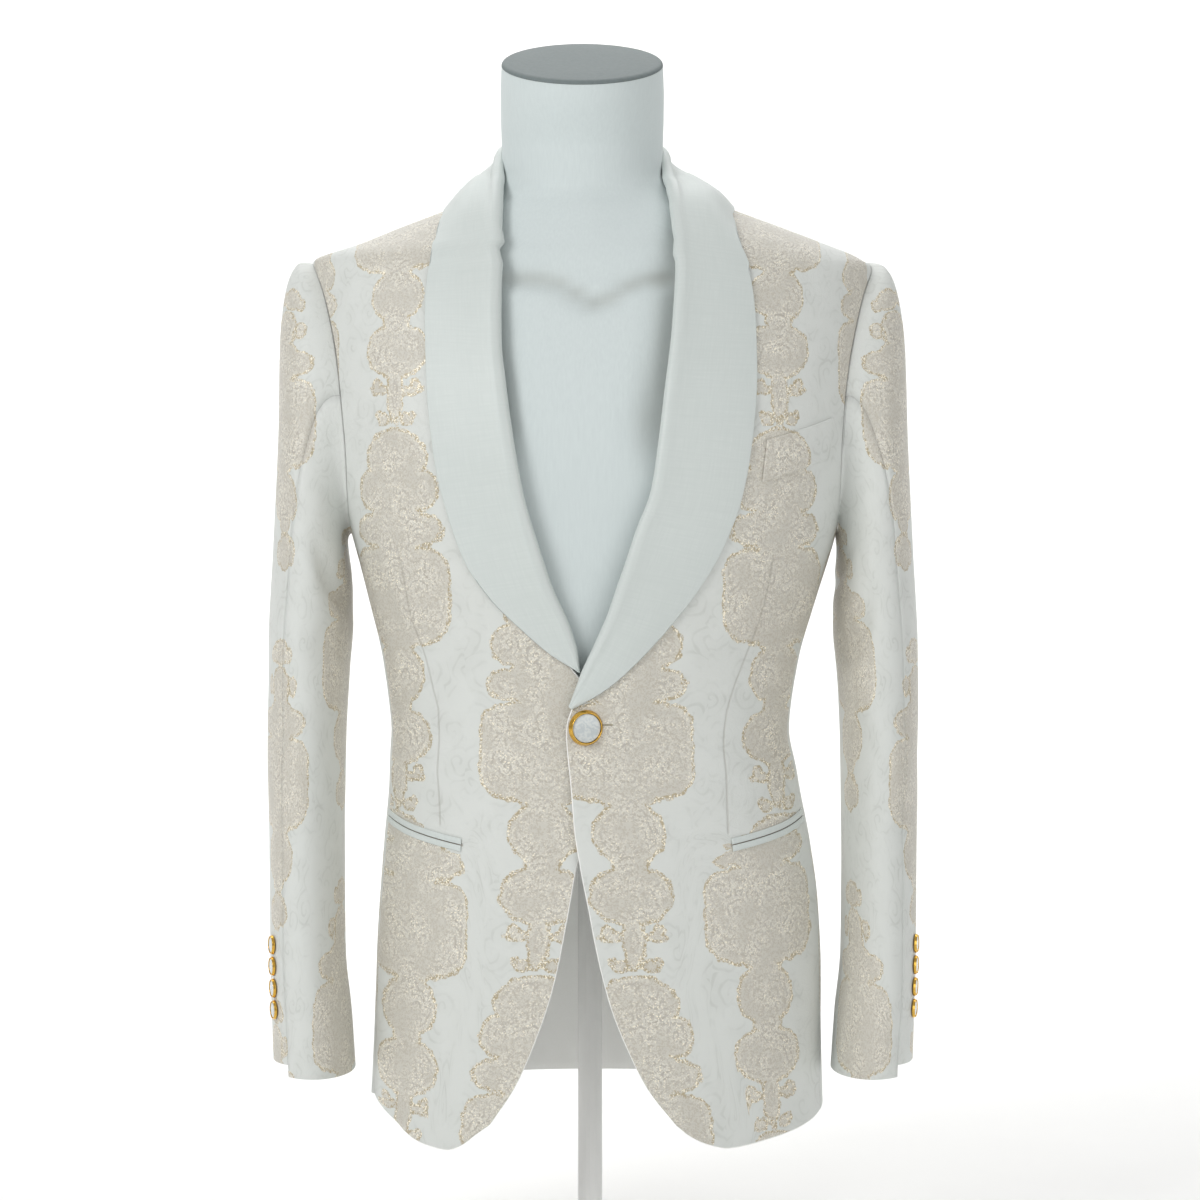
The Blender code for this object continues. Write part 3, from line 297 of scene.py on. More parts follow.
ground = [("weave", "UVMap weave")]
solid = [("place", "TexCoord")]
finishes = {
    # a matt satin ground with tone-on-tone scrolls, and figured columns with metal thread
    "brocade": makeMaterial("ivory brocade with gold thread", brocadeNodes(brocade), {
        "Base Color": "colour", "Roughness": "rough", "Metallic": "metal", "Normal": "bump",
        "Sheen Weight": 0.12,
    }),
    # long floats, so a broad soft gloss, with faint slubs along the warp
    "satin": makeMaterial("white duchess satin", ground + [
        ("stretched", "Mapping", {"Vector": "weave", "Scale": (1.0, 0.06, 1.0)}),
        ("slub", "TexNoise 2D", {"Vector": "stretched", "Scale": 700.0, "Detail": 3.0}),
        ("crossed", "Mapping", {"Vector": "weave", "Scale": (0.05, 1.0, 1.0)}),
        ("pick", "TexNoise 2D", {"Vector": "crossed", "Scale": 620.0, "Detail": 2.0}),
        ("tone", "MULTIPLY", "slub", "pick"),
        ("colour", "MixRGB", "tone", "#CDD4D1", "#D9DFDC"),
        ("bump", "Bump", {"Height": "tone", "Strength": 0.08, "Distance": 0.0004}),
    ], {
        "Base Color": "colour", "Roughness": 0.42, "Normal": "bump", "Sheen Weight": 0.15,
        "Specular IOR Level": 0.3,
    }),
    # plain-woven viscose: smooth and even
    "lining": makeMaterial("ivory viscose lining", solid + [
        ("threads", "TexNoise", {"Vector": "place.Object", "Scale": 900.0, "Detail": 2.0}),
        ("colour", "MixRGB", "threads", "#F6F6F2", "#FDFDFB"),
    ], {"Base Color": "colour", "Roughness": 0.45}),
    # silk thread in close wrapped stitches
    "twist": makeMaterial("silk buttonhole twist", ground + [
        ("stitches", "TexWave Y", {"Vector": "weave", "Scale": 420.0}),
        ("colour", "MixRGB", "stitches.Fac", "#7E7660", "#B3AC96"),
    ], {"Base Color": "colour", "Roughness": 0.5}),
    # cotton jersey stretched over the form: matt, with a fine rib up and down, and painted shade where the
    # form's shade attribute is set
    "jersey": makeMaterial("white cotton jersey", solid + [
        ("ribs", "Mapping", {"Vector": "place.Object", "Scale": (1.0, 1.0, 0.12)}),
        ("knit", "TexNoise", {"Vector": "ribs", "Scale": 620.0, "Detail": 3.0}),
        ("cloud", "TexNoise", {"Vector": "place.Object", "Scale": 7.0, "Detail": 2.0}),
        ("mixed", "MULTIPLY", "knit", "cloud"),
        ("colour", "MixRGB", "mixed", "#CDD6D6", "#DFE8E7"),
        # painted shade: the form's shade attribute darkens the jersey along the chest's top line and beside
        # the lapels
        ("shade", "Attribute shade"),
        ("shade", "SeparateXYZ", "shade.Vector"),
        ("shade", "MULTIPLY", "shade", 0.45),
        ("colour", "MixRGB", "shade", "colour", "#A9ACA6"),
        ("bump", "Bump", {"Height": "knit", "Strength": 0.2, "Distance": 0.0004}),
    ], {"Base Color": "colour", "Roughness": 0.82, "Normal": "bump", "Sheen Weight": 0.2}),
    # matt grey, darker than the jersey below it
    "cap_grey": makeMaterial("matt grey neck cap", solid + [
        ("grain", "TexNoise", {"Vector": "place.Object", "Scale": 320.0, "Detail": 3.0}),
        ("colour", "MixRGB", "grain", "#6B7575", "#7A8484"),
    ], {"Base Color": "colour", "Roughness": 0.62}),
    # powder-coated steel with a slight orange peel
    "white_paint": makeMaterial("white powder coat", solid + [
        ("peel", "TexNoise", {"Vector": "place.Object", "Scale": 260.0, "Detail": 1.0}),
        ("bump", "Bump", {"Height": "peel", "Strength": 0.15, "Distance": 0.0003}),
    ], {"Base Color": "#F0F0EE", "Roughness": 0.42, "Normal": "bump"}),
    # polished gilt, lightly rubbed
    "gold": makeMaterial("gilt brass", solid + [
        ("rub", "TexNoise", {"Vector": "place.Object", "Scale": 420.0, "Detail": 3.0}),
        ("colour", "MixRGB", "rub", "#D9A53C", "#F0C868"),
        ("rough", "MapRange", {"Value": "rub", "To Min": 0.12, "To Max": 0.32}),
    ], {"Base Color": "colour", "Roughness": "rough", "Metallic": 1.0}),
    # layered nacre, cloudy grey-blue to cream, under a polished face
    "pearl": makeMaterial("mother-of-pearl", solid + [
        ("cloud", "TexNoise", {"Vector": "place.Object", "Scale": 150.0, "Detail": 3.0}),
        ("layers", "TexWave DIAGONAL", {
            "Vector": "place.Object", "Scale": 45.0, "Distortion": 16.0, "Detail": 4.0, "Detail Scale": 3.0,
        }),
        ("colour", "MixRGB", "layers.Fac", "#B9C3C8", "#DDE1DF"),
        ("colour", "MixRGB", "cloud", "colour", "#CBD0CE"),
    ], {"Base Color": "colour", "Roughness": 0.16, "Coat Weight": 0.6, "Coat Roughness": 0.06}),
    # a roll of matt paper
    "paper": makeMaterial("white paper sweep", solid + [
        ("grain", "TexNoise", {"Vector": "place.Object", "Scale": 12.0, "Detail": 2.0}),
        ("colour", "MixRGB", "grain", "#F2F2F1", "#F4F4F3"),
    ], {"Base Color": "colour", "Roughness": 0.9}),
}
print("materials made")

# the jacket's outer surface: a place on it is an angle (0 centre front, 90 wearer's left) and a height

body = {
    "cloth": 0.0018,
    "satin": 0.0013,
    # how far the front edges lie out and in where they lap: degrees, heights and metres
    "lap": {
        "middle": -2, "spread": (9.0, 26.0), "heights": (0.27, 0.33, 0.49, 0.58),
        "rise": {1: 0.0030, -1: -0.0021},
    },
    "armMiddle": 0.677,
    "armHalfHeight": 0.106,
    "armHalfAngle": 27.0,
    "shoulderTip": 0.783,
    "backHem": 0.126,
    "metresPerDegree": 0.0026,
    # how the pattern lies: metres, but for the side panel's middle angle
    "weave": {
        "wrap": 0.215, "column": {1: 0.028, -1: -0.033}, "slant": 0.016, "slantHeights": (0.12, 0.41),
        "sideAngle": 101, "sideAcross": 0.128, "chest": 0.66, "lobe": 0.410,
    },
    "nearby": (0.4, 0.0012),  # degrees and metres over which a slope is taken
    # height, half width, front, back, side y, drift, squareness
    "sections": [
        (0.100, 0.1785, 0.121, 0.126, 0.000, 0.0050, 0.035),
        (0.190, 0.1750, 0.122, 0.127, 0.000, 0.0060, 0.035),
        (0.240, 0.1740, 0.122, 0.125, 0.000, 0.0068, 0.035),
        (0.285, 0.1715, 0.121, 0.120, 0.000, 0.0068, 0.035),
        (0.332, 0.1665, 0.118, 0.111, 0.000, 0.0055, 0.035),
        (0.379, 0.1600, 0.114, 0.103, 0.000, 0.0030, 0.035),
        (0.4255, 0.1565, 0.112, 0.098, 0.000, 0.0000, 0.035),
        (0.472, 0.1620, 0.114, 0.100, 0.000, 0.0006, 0.035),
        (0.519, 0.1740, 0.120, 0.108, 0.000, 0.0018, 0.035),
        (0.565, 0.1870, 0.126, 0.116, 0.000, 0.0030, 0.035),
        (0.620, 0.2020, 0.127, 0.121, 0.002, 0.0030, 0.030),
        (0.680, 0.2130, 0.119, 0.122, 0.006, 0.0025, 0.025),
        (0.730, 0.2170, 0.1040, 0.119, 0.010, 0.0030, 0.020),
        (0.760, 0.2180, 0.0920, 0.115, 0.012, 0.0030, 0.015),
        (0.774, 0.2190, 0.0852, 0.112, 0.013, 0.0030, 0.012),
        (0.780, 0.2182, 0.0825, 0.111, 0.0135, 0.0015, 0.011),
        (0.785, 0.2132, 0.0800, 0.110, 0.014, -0.0015, 0.010),
        (0.797, 0.1820, 0.0735, 0.107, 0.015, 0.0020, 0.005),
        (0.810, 0.1490, 0.0660, 0.103, 0.016, 0.0010, 0.000),
        (0.824, 0.1120, 0.058, 0.097, 0.017, 0.0000, 0.000),
        (0.836, 0.0850, 0.052, 0.090, 0.017, -0.0030, 0.000),
        (0.846, 0.0720, 0.048, 0.084, 0.016, -0.0050, 0.000),
        (0.862, 0.0676, 0.047, 0.080, 0.015, -0.0060, 0.000),
        (0.885, 0.0662, 0.050, 0.076, 0.013, -0.0060, 0.000),
        (0.910, 0.0658, 0.053, 0.073, 0.010, -0.0060, 0.000),
    ],
    "foldEnd": 0.12,  # folds fade to their ends as a sine does, less this share of it
    # soft ridges and troughs: angle and height at each end, half breadth, rise
    "folds": [
        (-8.0, 0.455, -50.0, 0.520, 0.011, 0.0016),
        (-10.0, 0.435, -46.0, 0.470, 0.010, -0.0013),
        (8.0, 0.455, 50.0, 0.515, 0.011, 0.0016),
        (10.0, 0.436, 44.0, 0.462, 0.010, -0.0012),
        (-64.0, 0.560, -58.0, 0.480, 0.012, -0.0016),
        (64.0, 0.562, 60.0, 0.488, 0.012, -0.0015),
        (-150.0, 0.700, -168.0, 0.560, 0.020, 0.0020),
        (150.0, 0.700, 168.0, 0.560, 0.020, 0.0020),
        (-160.0, 0.420, 160.0, 0.412, 0.014, -0.0016),
        (-125.0, 0.330, -140.0, 0.180, 0.018, 0.0022),
        (125.0, 0.330, 140.0, 0.180, 0.018, 0.0022),
        (-72.0, 0.300, -66.0, 0.150, 0.016, 0.0018),
        (72.0, 0.300, 66.0, 0.150, 0.016, 0.0018),
    ],
}


def through(steps, values):
    # a monotone cubic through points
    steps, values = np.array(steps, float), np.array(values, float)
    gaps = np.diff(steps)
    rates = np.diff(values) / gaps
    slopes = np.zeros(len(steps))
    slopes[0], slopes[-1] = rates[0], rates[-1]
    for i in range(1, len(steps) - 1):
        if rates[i - 1] * rates[i] > 0:
            before, after = 2 * gaps[i] + gaps[i - 1], gaps[i] + 2 * gaps[i - 1]
            slopes[i] = (before + after) / (before / rates[i - 1] + after / rates[i])

    def read(at):
        at = np.clip(at, steps[0], steps[-1])
        i = np.clip(np.searchsorted(steps, at) - 1, 0, len(gaps) - 1)
        s = (at - steps[i]) / gaps[i]
        turn = slopes[i] * s * (1 - s) ** 2 + slopes[i + 1] * s * s * (s - 1)
        return values[i] + (values[i + 1] - values[i]) * s * s * (3 - 2 * s) + turn * gaps[i]

    return read


def readColumns(rows):
    columns = list(zip(*rows))
    return [through(columns[0], column) for column in columns[1:]]


def readRows(marks, rows, at):
    # the rows stand at the marks; gives the row at each place asked for
    rows = np.asarray(rows, float)
    flat = [through(marks, column)(at) for column in rows.reshape(len(rows), -1).T]
    return np.stack(flat, axis=-1).reshape(*np.shape(at), *rows.shape[1:])


def joined(*parts):
    return np.stack(np.broadcast_arrays(*parts), axis=-1)


def unit(steps):
    return steps / np.linalg.norm(steps, axis=-1, keepdims=True)


halfWidth, frontDepth, backDepth, sideY, drift, squareness = readColumns(body["sections"])


def ease(value, low, high):
    s = np.clip((value - low) / (high - low), 0.0, 1.0)
    return s * s * (3 - 2 * s)


def between(value, low, full, still, off):
    return ease(value, low, full) * (1 - ease(value, still, off))


def bell(value, breadth):
    return np.exp(-((value / breadth) ** 2))


def plainShell(angle, height):
    angle, height = np.broadcast_arrays(np.asarray(angle, float), np.asarray(height, float))
    turn = np.radians(angle)
    side, ahead = np.sin(turn), np.cos(turn)
    square = 1 + squareness(height) * np.sin(2 * turn) ** 2
    depth = np.where(ahead > 0, frontDepth(height) + sideY(height), backDepth(height) - sideY(height))
    x = halfWidth(height) * side * square + drift(height)
    return joined(x, sideY(height) - depth * ahead * square, height)


def foldRise(angle, height):
    total = np.zeros(np.broadcast(angle, height).shape)
    scale = [body["metresPerDegree"], 1.0]
    place = joined(angle, height) * scale
    for angleFrom, heightFrom, angleTo, heightTo, halfBreadth, rise in body["folds"]:
        start, stop = np.array([(angleFrom, heightFrom), (angleTo, heightTo)]) * scale
        line = stop - start
        along = np.clip((place - start) @ line / (line @ line), 0.0, 1.0)
        away = np.linalg.norm(place - start - along[..., None] * line, axis=-1)
        fade = np.sin(math.pi * (body["foldEnd"] + (1 - 2 * body["foldEnd"]) * along))
        total += rise * bell(away, halfBreadth) * fade
    return total


def frontLift(side, angle, height):
    lap = body["lap"]
    near = 1 - ease(abs(angle - lap["middle"]), *lap["spread"])
    return near * between(height, *lap["heights"]) * lap["rise"][side]


def shell(angle, height, out=0.0, side=0):
    angle, height = np.asarray(angle, float), np.asarray(height, float)
    turn, climb = body["nearby"]
    across = plainShell(angle + turn, height) - plainShell(angle - turn, height)
    upward = plainShell(angle, height + climb) - plainShell(angle, height - climb)
    rise = out + foldRise(angle, height) + (frontLift(side, angle, height) if side else 0.0)
    return plainShell(angle, height) + unit(np.cross(across, upward)) * np.asarray(rise)[..., None]


def angleAt(x, height):
    low, high = np.full(np.shape(x), -89.9), np.full(np.shape(x), 89.9)
    for _ in range(40):
        middle = (low + high) / 2
        short = plainShell(middle, height)[..., 0] < x
        low, high = np.where(short, middle, low), np.where(short, high, middle)
    return (low + high) / 2


def onShell(points):
    x, height = np.array(points, float).T
    return joined(angleAt(x, height), height)


def lengthAlong(points):
    return np.concatenate([[0], np.cumsum(np.linalg.norm(np.diff(points, axis=0), axis=1))])


def lengthShares(points):
    length = lengthAlong(points)
    return length / length[-1]


def resampled(places, shares):
    return readRows(lengthShares(np.array(places) * [body["metresPerDegree"], 1.0]), places, shares)


def patch(bottom, top, first, last):
    # fills four edges: rows go from bottom to top, columns from first to last
    u = np.linspace(0, 1, len(bottom))[None, :, None]
    v = np.linspace(0, 1, len(first))[:, None, None]
    bottom, top, first, last = (np.array(edge, float) for edge in (bottom, top, first, last))
    ruled = (1 - v) * bottom[None] + v * top[None] + (1 - u) * first[:, None] + u * last[:, None]
    corners = (1 - u) * ((1 - v) * bottom[0] + v * top[0]) + u * ((1 - v) * bottom[-1] + v * top[-1])
    return ruled - corners


def refine(grid, times, bend):
    # a finer grid through the same places; bend is a row where the edge turns a corner
    for axis in (0, 1):
        grid = np.swapaxes(grid, 0, axis)
        marks = np.arange(len(grid))
        end = len(grid) - 1
        cuts = [0, bend, end] if axis == 0 and bend < end else [0, end]
        parts = []
        for start, stop in zip(cuts, cuts[1:]):
            fine = np.linspace(start, stop, (stop - start) * times + 1)[bool(parts):]
            parts.append(readRows(marks[start : stop + 1], grid[start : stop + 1], fine))
        grid = np.swapaxes(np.concatenate(parts), 0, axis)
    return grid


def borderOf(rows, columns):
    rim = [(0, i) for i in range(columns)] + [(j, columns - 1) for j in range(1, rows)]
    rim += [(rows - 1, i) for i in range(columns - 2, -1, -1)] + [(j, 0) for j in range(rows - 2, 0, -1)]
    return tuple(np.array(rim).T)


def inset(points, by):
    # draws the border in by a distance for the first and last rows and the first and last columns
    moved = points.copy()
    for k, (edge, inner) in enumerate(((0, 1), (-1, -2), (0, 1), (-1, -2))):
        source, target = np.swapaxes(points, 0, k // 2), np.swapaxes(moved, 0, k // 2)
        step = source[inner] - source[edge]
        target[edge] += step * by[k] / np.maximum(np.linalg.norm(step, axis=-1, keepdims=True), 1e-9)
    return moved


def newMesh(name, vertices, faces, finish, places=None, picks=None):
    # places are uv places in metres, one for each vertex; picks are the faces' material numbers
    mesh = bpy.data.meshes.new(name)
    mesh.from_pydata([tuple(v) for v in vertices], [], faces)
    for one in finish:
        mesh.materials.append(finishes[one])
    if picks is not None:
        mesh.polygons.foreach_set("material_index", picks)
    if places is not None:
        layer = mesh.uv_layers.new(name="weave")
        corners = np.zeros(len(mesh.loops), int)
        mesh.loops.foreach_get("vertex_index", corners)
        layer.data.foreach_set("uv", np.asarray(places)[corners].astype(np.float32).ravel())
    shape = bmesh.new()
    shape.from_mesh(mesh)
    bmesh.ops.recalc_face_normals(shape, faces=shape.faces)
    shape.to_mesh(mesh)
    shape.free()
    piece = bpy.data.objects.new(f"{name}_real", mesh)  # the bare name is the CAD node's
    bpy.context.scene.collection.objects.link(piece)
    mesh.shade_smooth()
    return piece


def addVectors(piece, name, values):
    # a vector at each vertex, which the material reads
    attribute = piece.data.attributes.new(name, "FLOAT_VECTOR", "POINT")
    attribute.data.foreach_set("vector", values.astype(np.float32).ravel())


rimFaces = 6  # round a sheet's edge, from its outside to its inside

# gap to the next piece and rounding of the edge, at the first and last rows and the first and last columns
edges = {
    "sewn": ([0.00015] * 4, [0.0005] * 4),
    "faced": ([0.00015] * 4, [0.0010, 0.0005, 0.0005, 0.0010]),
    "collar": ([0.00015] * 4, [0.0006] * 4),
    "sleeve": ([0.00015, 0.00015, 0.00003, 0.00003], [0.0005, 0.0010, 0.00005, 0.00005]),
    "jet": ([0.00002] * 4, [0.0004] * 4),
    "welt": ([0.00002] * 4, [0.0006] * 4),
    "twist": ([0.00002] * 4, [0.0001] * 4),
}


def wall(name, outer, inner, uv, finish, edge, attributes=None, facing=0):
    # a closed sheet between two grids with a rounded rim, whose first faces may show the facing
    gaps, rounds = edges[edge]
    rows, columns = outer.shape[:2]
    size = rows * columns
    rim = borderOf(rows, columns)
    tightOuter, tightInner = (inset(side, np.add(gaps, rounds)) for side in (outer, inner))
    middle = (tightOuter[rim] + tightInner[rim]) / 2
    away = inset((outer + inner) / 2, gaps)[rim] - middle
    thick = (tightOuter[rim] - tightInner[rim]) / 2
    turns = [math.pi * k / rimFaces for k in range(1, rimFaces)]
    rounded = [middle + away * math.sin(t) + thick * math.cos(t) for t in turns]
    vertices = np.concatenate([tightOuter.reshape(-1, 3), tightInner.reshape(-1, 3)] + rounded)
    index = np.arange(size).reshape(rows, columns)
    a, b, c, d = index[:-1, :-1], index[:-1, 1:], index[1:, 1:], index[1:, :-1]
    quads = np.stack([a, b, c, d], axis=-1).reshape(-1, 4)
    faces = quads.tolist() + (size + quads[:, ::-1]).tolist()
    picks = [0] * len(quads) + [1] * len(quads)
    count = len(rim[0])
    rings = [2 * size + k * count + np.arange(count) for k in range(len(turns))]
    loops = [index[rim]] + rings + [size + index[rim]]
    for k, (near, far) in enumerate(zip(loops, loops[1:])):
        faces += np.stack([np.roll(near, -1), near, far, np.roll(far, -1)], axis=-1).tolist()
        picks += [1] * count if k >= rimFaces // 2 else [1] * facing + [0] * (count - facing)
    flat = np.asarray(uv, float).reshape(-1, 2)
    places = np.concatenate([flat, flat] + [flat[index[rim]]] * len(turns))
    piece = newMesh(name, vertices, faces, finish, places, picks)
    for label, values in (attributes or {}).items():
        addVectors(piece, label, np.concatenate([values.reshape(-1, 3)] * 2 + [values[rim]] * len(turns)))
    return piece


def addPiece(piece, nodes):
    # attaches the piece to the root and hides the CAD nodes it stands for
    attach(piece, "root")
    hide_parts(*nodes)


def weavePlaces(places, side, cutAs):
    # where the pattern falls: metres across from a column's axis, and up from its widest lobe
    w = body["weave"]
    angle, height = places[..., 0], places[..., 1]
    point = plainShell(angle, height)
    across = w["wrap"] * np.arcsin(np.clip(point[..., 0] / w["wrap"], -1, 1))
    if cutAs == "front":
        low, high = w["slantHeights"]
        slant = w["slant"] * np.clip((high - height) / (high - low), 0, 1) ** 1.5
        across -= w["column"][side] + side * slant
    if cutAs == "side":
        start = side * w["sideAngle"]
        arc = plainShell(start + (angle - start) * np.linspace(0, 1, 9)[:, None, None], height)
        length = np.linalg.norm(np.diff(arc, axis=0), axis=-1).sum(axis=0)
        across = w["sideAcross"] + length * np.sign(angle - start)
    climb = np.linalg.norm(np.diff(point[..., 1:], axis=0), axis=-1)
    rise = np.where(height[1:] > w["chest"], climb, np.diff(height, axis=0))
    up = height[:1] + np.concatenate([np.zeros((1, height.shape[1])), np.cumsum(rise, axis=0)])
    if cutAs == "front":
        # the cloth is cut across at the pocket, and its lower part lies higher and further forward
        turn = abs(angle)
        sharp, soft = pocket["blur"]
        blur = sharp + soft * (1 - ease(turn, *pocket["blurAngles"]))
        below = (np.interp(turn, *zip(*pocket["line"])) - height) / blur
        start = np.interp(height, pocket["movedHeights"], pocket["movedFrom"][side])
        moved = ease(below, -1.0, 1.0) * ease(turn - start, 0.0, pocket["movedBlend"])
        up = up - pocket["clothUp"][side] * moved
        across = across + side * pocket["clothAhead"] * moved
    return joined(across, up - w["lobe"])


def lineOffsets(places, line):
    # metres beside a line of places and beyond its ends; the last number marks that the line is there
    scale = np.array([body["metresPerDegree"], 1.0])
    points, line = places * scale, np.array(line) * scale
    best, result = np.full(places.shape[:-1], 9.0), np.zeros(places.shape[:-1] + (3,))
    for k, (start, stop) in enumerate(zip(line, line[1:])):
        length = np.linalg.norm(stop - start)
        step = (stop - start) / length
        along = (points - start) @ step
        beyond = np.clip(along, 0 if k else -9, length if k < len(line) - 2 else 9)
        across = points - start - beyond[..., None] * step
        distance = np.linalg.norm(across, axis=-1)
        sign = np.where(step[0] * across[..., 1] - step[1] * across[..., 0] < 0, -1, 1)
        past = np.maximum(-along, 0) * (k == 0) + np.maximum(along - length, 0) * (k == len(line) - 2)
        nearest = distance < best
        best = np.where(nearest, distance, best)
        result = np.where(nearest[..., None], joined(sign * distance, past, 1.0), result)
    return result


def armscye(side, turns):
    turns = np.asarray(turns, float)
    height = body["armMiddle"] + body["armHalfHeight"] * np.cos(turns)
    return joined(side * (90 - body["armHalfAngle"] * np.sin(turns)), height)


fronts = {
    "armSteps": 24,
    "sideFront": 10,
    "sideBack": 15,
    "seamSteps": 17,
    "frontColumns": 11,
    "backColumns": 8,
    "finer": 4,
    # x and height of the cut edges, seen from the front
    "edge": {
        1: [
            (0.0648, 0.1298), (0.0542, 0.1416), (0.0392, 0.1647), (0.0235, 0.1988), (0.0115, 0.2327),
            (0.0018, 0.2776), (-0.0049, 0.3111), (-0.0079, 0.3282), (-0.0124, 0.3601), (-0.0161, 0.4040),
            (-0.0178, 0.4280), (-0.0172, 0.4395), (-0.0105, 0.4510),
        ],
        -1: [
            (-0.0748, 0.1293), (-0.0657, 0.1411), (-0.0528, 0.1643), (-0.0385, 0.1986), (-0.0273, 0.2326),
            (-0.0198, 0.2664), (-0.0138, 0.3000), (-0.0086, 0.3282), (-0.0030, 0.3480), (0.0045, 0.3700),
            (0.0110, 0.4040), (0.0125, 0.4280), (0.0070, 0.4450),
        ],
    },
    "hem": {
        1: [(0.1581, 0.1185), (0.1315, 0.1126), (0.1058, 0.1096), (0.0807, 0.1176), (0.0648, 0.1298)],
        -1: [(-0.1620, 0.1345), (-0.1471, 0.1213), (-0.1350, 0.1120), (-0.1092, 0.1070), (-0.0748, 0.1293)],
    },
    "sideHem": {1: 0.1235, -1: 0.1365},
    "backSideHem": 0.1280,
    "seamAngles": {"front": (78.0, 76.0), "back": (124.0, 126.0)},  # at the waist and at the hem
    "hip": 0.285,
    "waist": 0.4255,
    "dart": {
        1: [
            (0.139, 0.560), (0.1335, 0.527), (0.129, 0.511), (0.121, 0.488), (0.104, 0.441),
            (0.103, 0.394), (0.1045, 0.345),
        ],
        -1: [
            (-0.1445, 0.560), (-0.135, 0.508), (-0.125, 0.4815), (-0.119, 0.457), (-0.1147, 0.4415),
            (-0.1148, 0.421), (-0.1155, 0.392), (-0.113, 0.350),
        ],
    },
    # above the button the cut edge runs under the collar's roll, then over the shoulder (angle and height)
    "behindRoll": 0.0066,
    "rollFrom": 0.468,
    "underCollar": [(52.0, 0.830), (70.0, 0.836)],
    # from the centre back to the shoulder seam
    "neckline": [(180.0, 0.846), (140.0, 0.845), (90.0, 0.8385)],
    "necklineSteps": 5,
    "backMiddle": 155.0,
    # cut sizes: width, length and area
    "cut": {"front": (0.24, 0.74, 0.128), "side": (0.12, 0.48, 0.043), "back": (0.235, 0.74, 0.134)},
}

shawls = {
    # roll x and height, edge x and height, from the button up to the collar bone
    "chest": {
        1: [
            (-0.0152, 0.4440, -0.0128, 0.4420), (-0.0041, 0.4650, 0.0110, 0.4560),
            (0.0071, 0.4880, 0.0325, 0.4745), (0.0182, 0.5127, 0.0560, 0.4995),
            (0.0283, 0.5411, 0.0790, 0.5285), (0.0395, 0.5740, 0.0985, 0.5610),
            (0.0508, 0.6049, 0.1125, 0.5970), (0.0562, 0.6400, 0.1200, 0.6350),
            (0.0610, 0.6798, 0.1245, 0.6788), (0.0655, 0.7143, 0.1248, 0.7140),
            (0.0684, 0.7477, 0.1237, 0.7450), (0.0695, 0.7640, 0.1220, 0.7600),
            (0.0692, 0.7780, 0.1200, 0.7720), (0.0687, 0.7890, 0.1170, 0.7830),
            (0.0680, 0.7990, 0.1142, 0.7925), (0.0670, 0.8090, 0.1120, 0.8010),
            (0.0658, 0.8190, 0.1105, 0.8090), (0.0649, 0.8290, 0.1092, 0.8150),
        ],
        -1: [
            (-0.0072, 0.4690, -0.0098, 0.4706), (-0.0123, 0.4835, -0.0300, 0.4832),
            (-0.0197, 0.5045, -0.0500, 0.5005), (-0.0330, 0.5336, -0.0764, 0.5273),
            (-0.0440, 0.5670, -0.0943, 0.5560), (-0.0535, 0.6000, -0.1070, 0.5929),
            (-0.0602, 0.6350, -0.1150, 0.6270), (-0.0640, 0.6600, -0.1190, 0.6560),
            (-0.0675, 0.6870, -0.1215, 0.6860), (-0.0706, 0.7150, -0.1230, 0.7200),
            (-0.0712, 0.7477, -0.1235, 0.7480), (-0.0711, 0.7640, -0.1225, 0.7630),
            (-0.0710, 0.7780, -0.1212, 0.7740), (-0.0712, 0.7890, -0.1200, 0.7840),
            (-0.0713, 0.7990, -0.1182, 0.7930), (-0.0713, 0.8090, -0.1165, 0.8010),
            (-0.0712, 0.8190, -0.1150, 0.8085), (-0.0713, 0.8290, -0.1130, 0.8145),
        ],
    },
    # the same lines round the neck: roll angle and height, edge angle and height
    "collar": [
        (64.5, 0.8442, 78.0, 0.8235), (79.0, 0.8578, 92.0, 0.8260), (98.0, 0.8700, 108.0, 0.8285),
        (122.0, 0.8795, 128.0, 0.8315), (150.0, 0.8860, 152.0, 0.8350), (179.90, 0.8880, 179.90, 0.8365),
    ],
    "tight": 0.0018,  # how much closer than the body's cloth it hugs the neck
    "clearance": 0.0011,
    "facingGap": 0.0014,
    "rows": 90,
    "gather": 1.15,  # more than 1 sets the rows closer at the button
    "leafStops": [
        1.0, 0.985, 0.965, 0.94, 0.88, 0.80, 0.72, 0.63, 0.54, 0.46, 0.38, 0.30, 0.22, 0.15, 0.09,
        0.045, 0.02,
    ],
    # in metres; a pair after an amount is the shares of the length between which it comes in
    "rest": 0.0002,
    "tuck": (0.76, 0.87),
    "facing": 0.026,
    "facingNarrow": (0.018, 0.66, 0.74),
    "facingWide": (0.026, 0.83, 0.92),
    "bridge": (0.0092, 0.60, 1.0),
    "bridgeLeast": 0.0012,
    "crest": 1.15,  # more than 1 moves the bridge's crest towards the edge
    "swell": 0.0050,
    "swellLess": (0.0036, 0.72, 0.82),
    "hug": (0.850, 0.863),  # the heights between which it draws in to the neck
    "bends": 9,
    "bendAngle": 70,
    "bendHeight": 0.92,
    "bendWidth": 0.0012,
    "leastBend": 0.0004,
    "rollWidth": 0.011,
    "fullRoll": 0.02,  # a narrower leaf than this has a flatter roll
    "facingStops": [0.12, 0.34, 0.55, 0.78, 0.93, 1.0],
    "cut": (0.125, 0.62, 0.051),
}

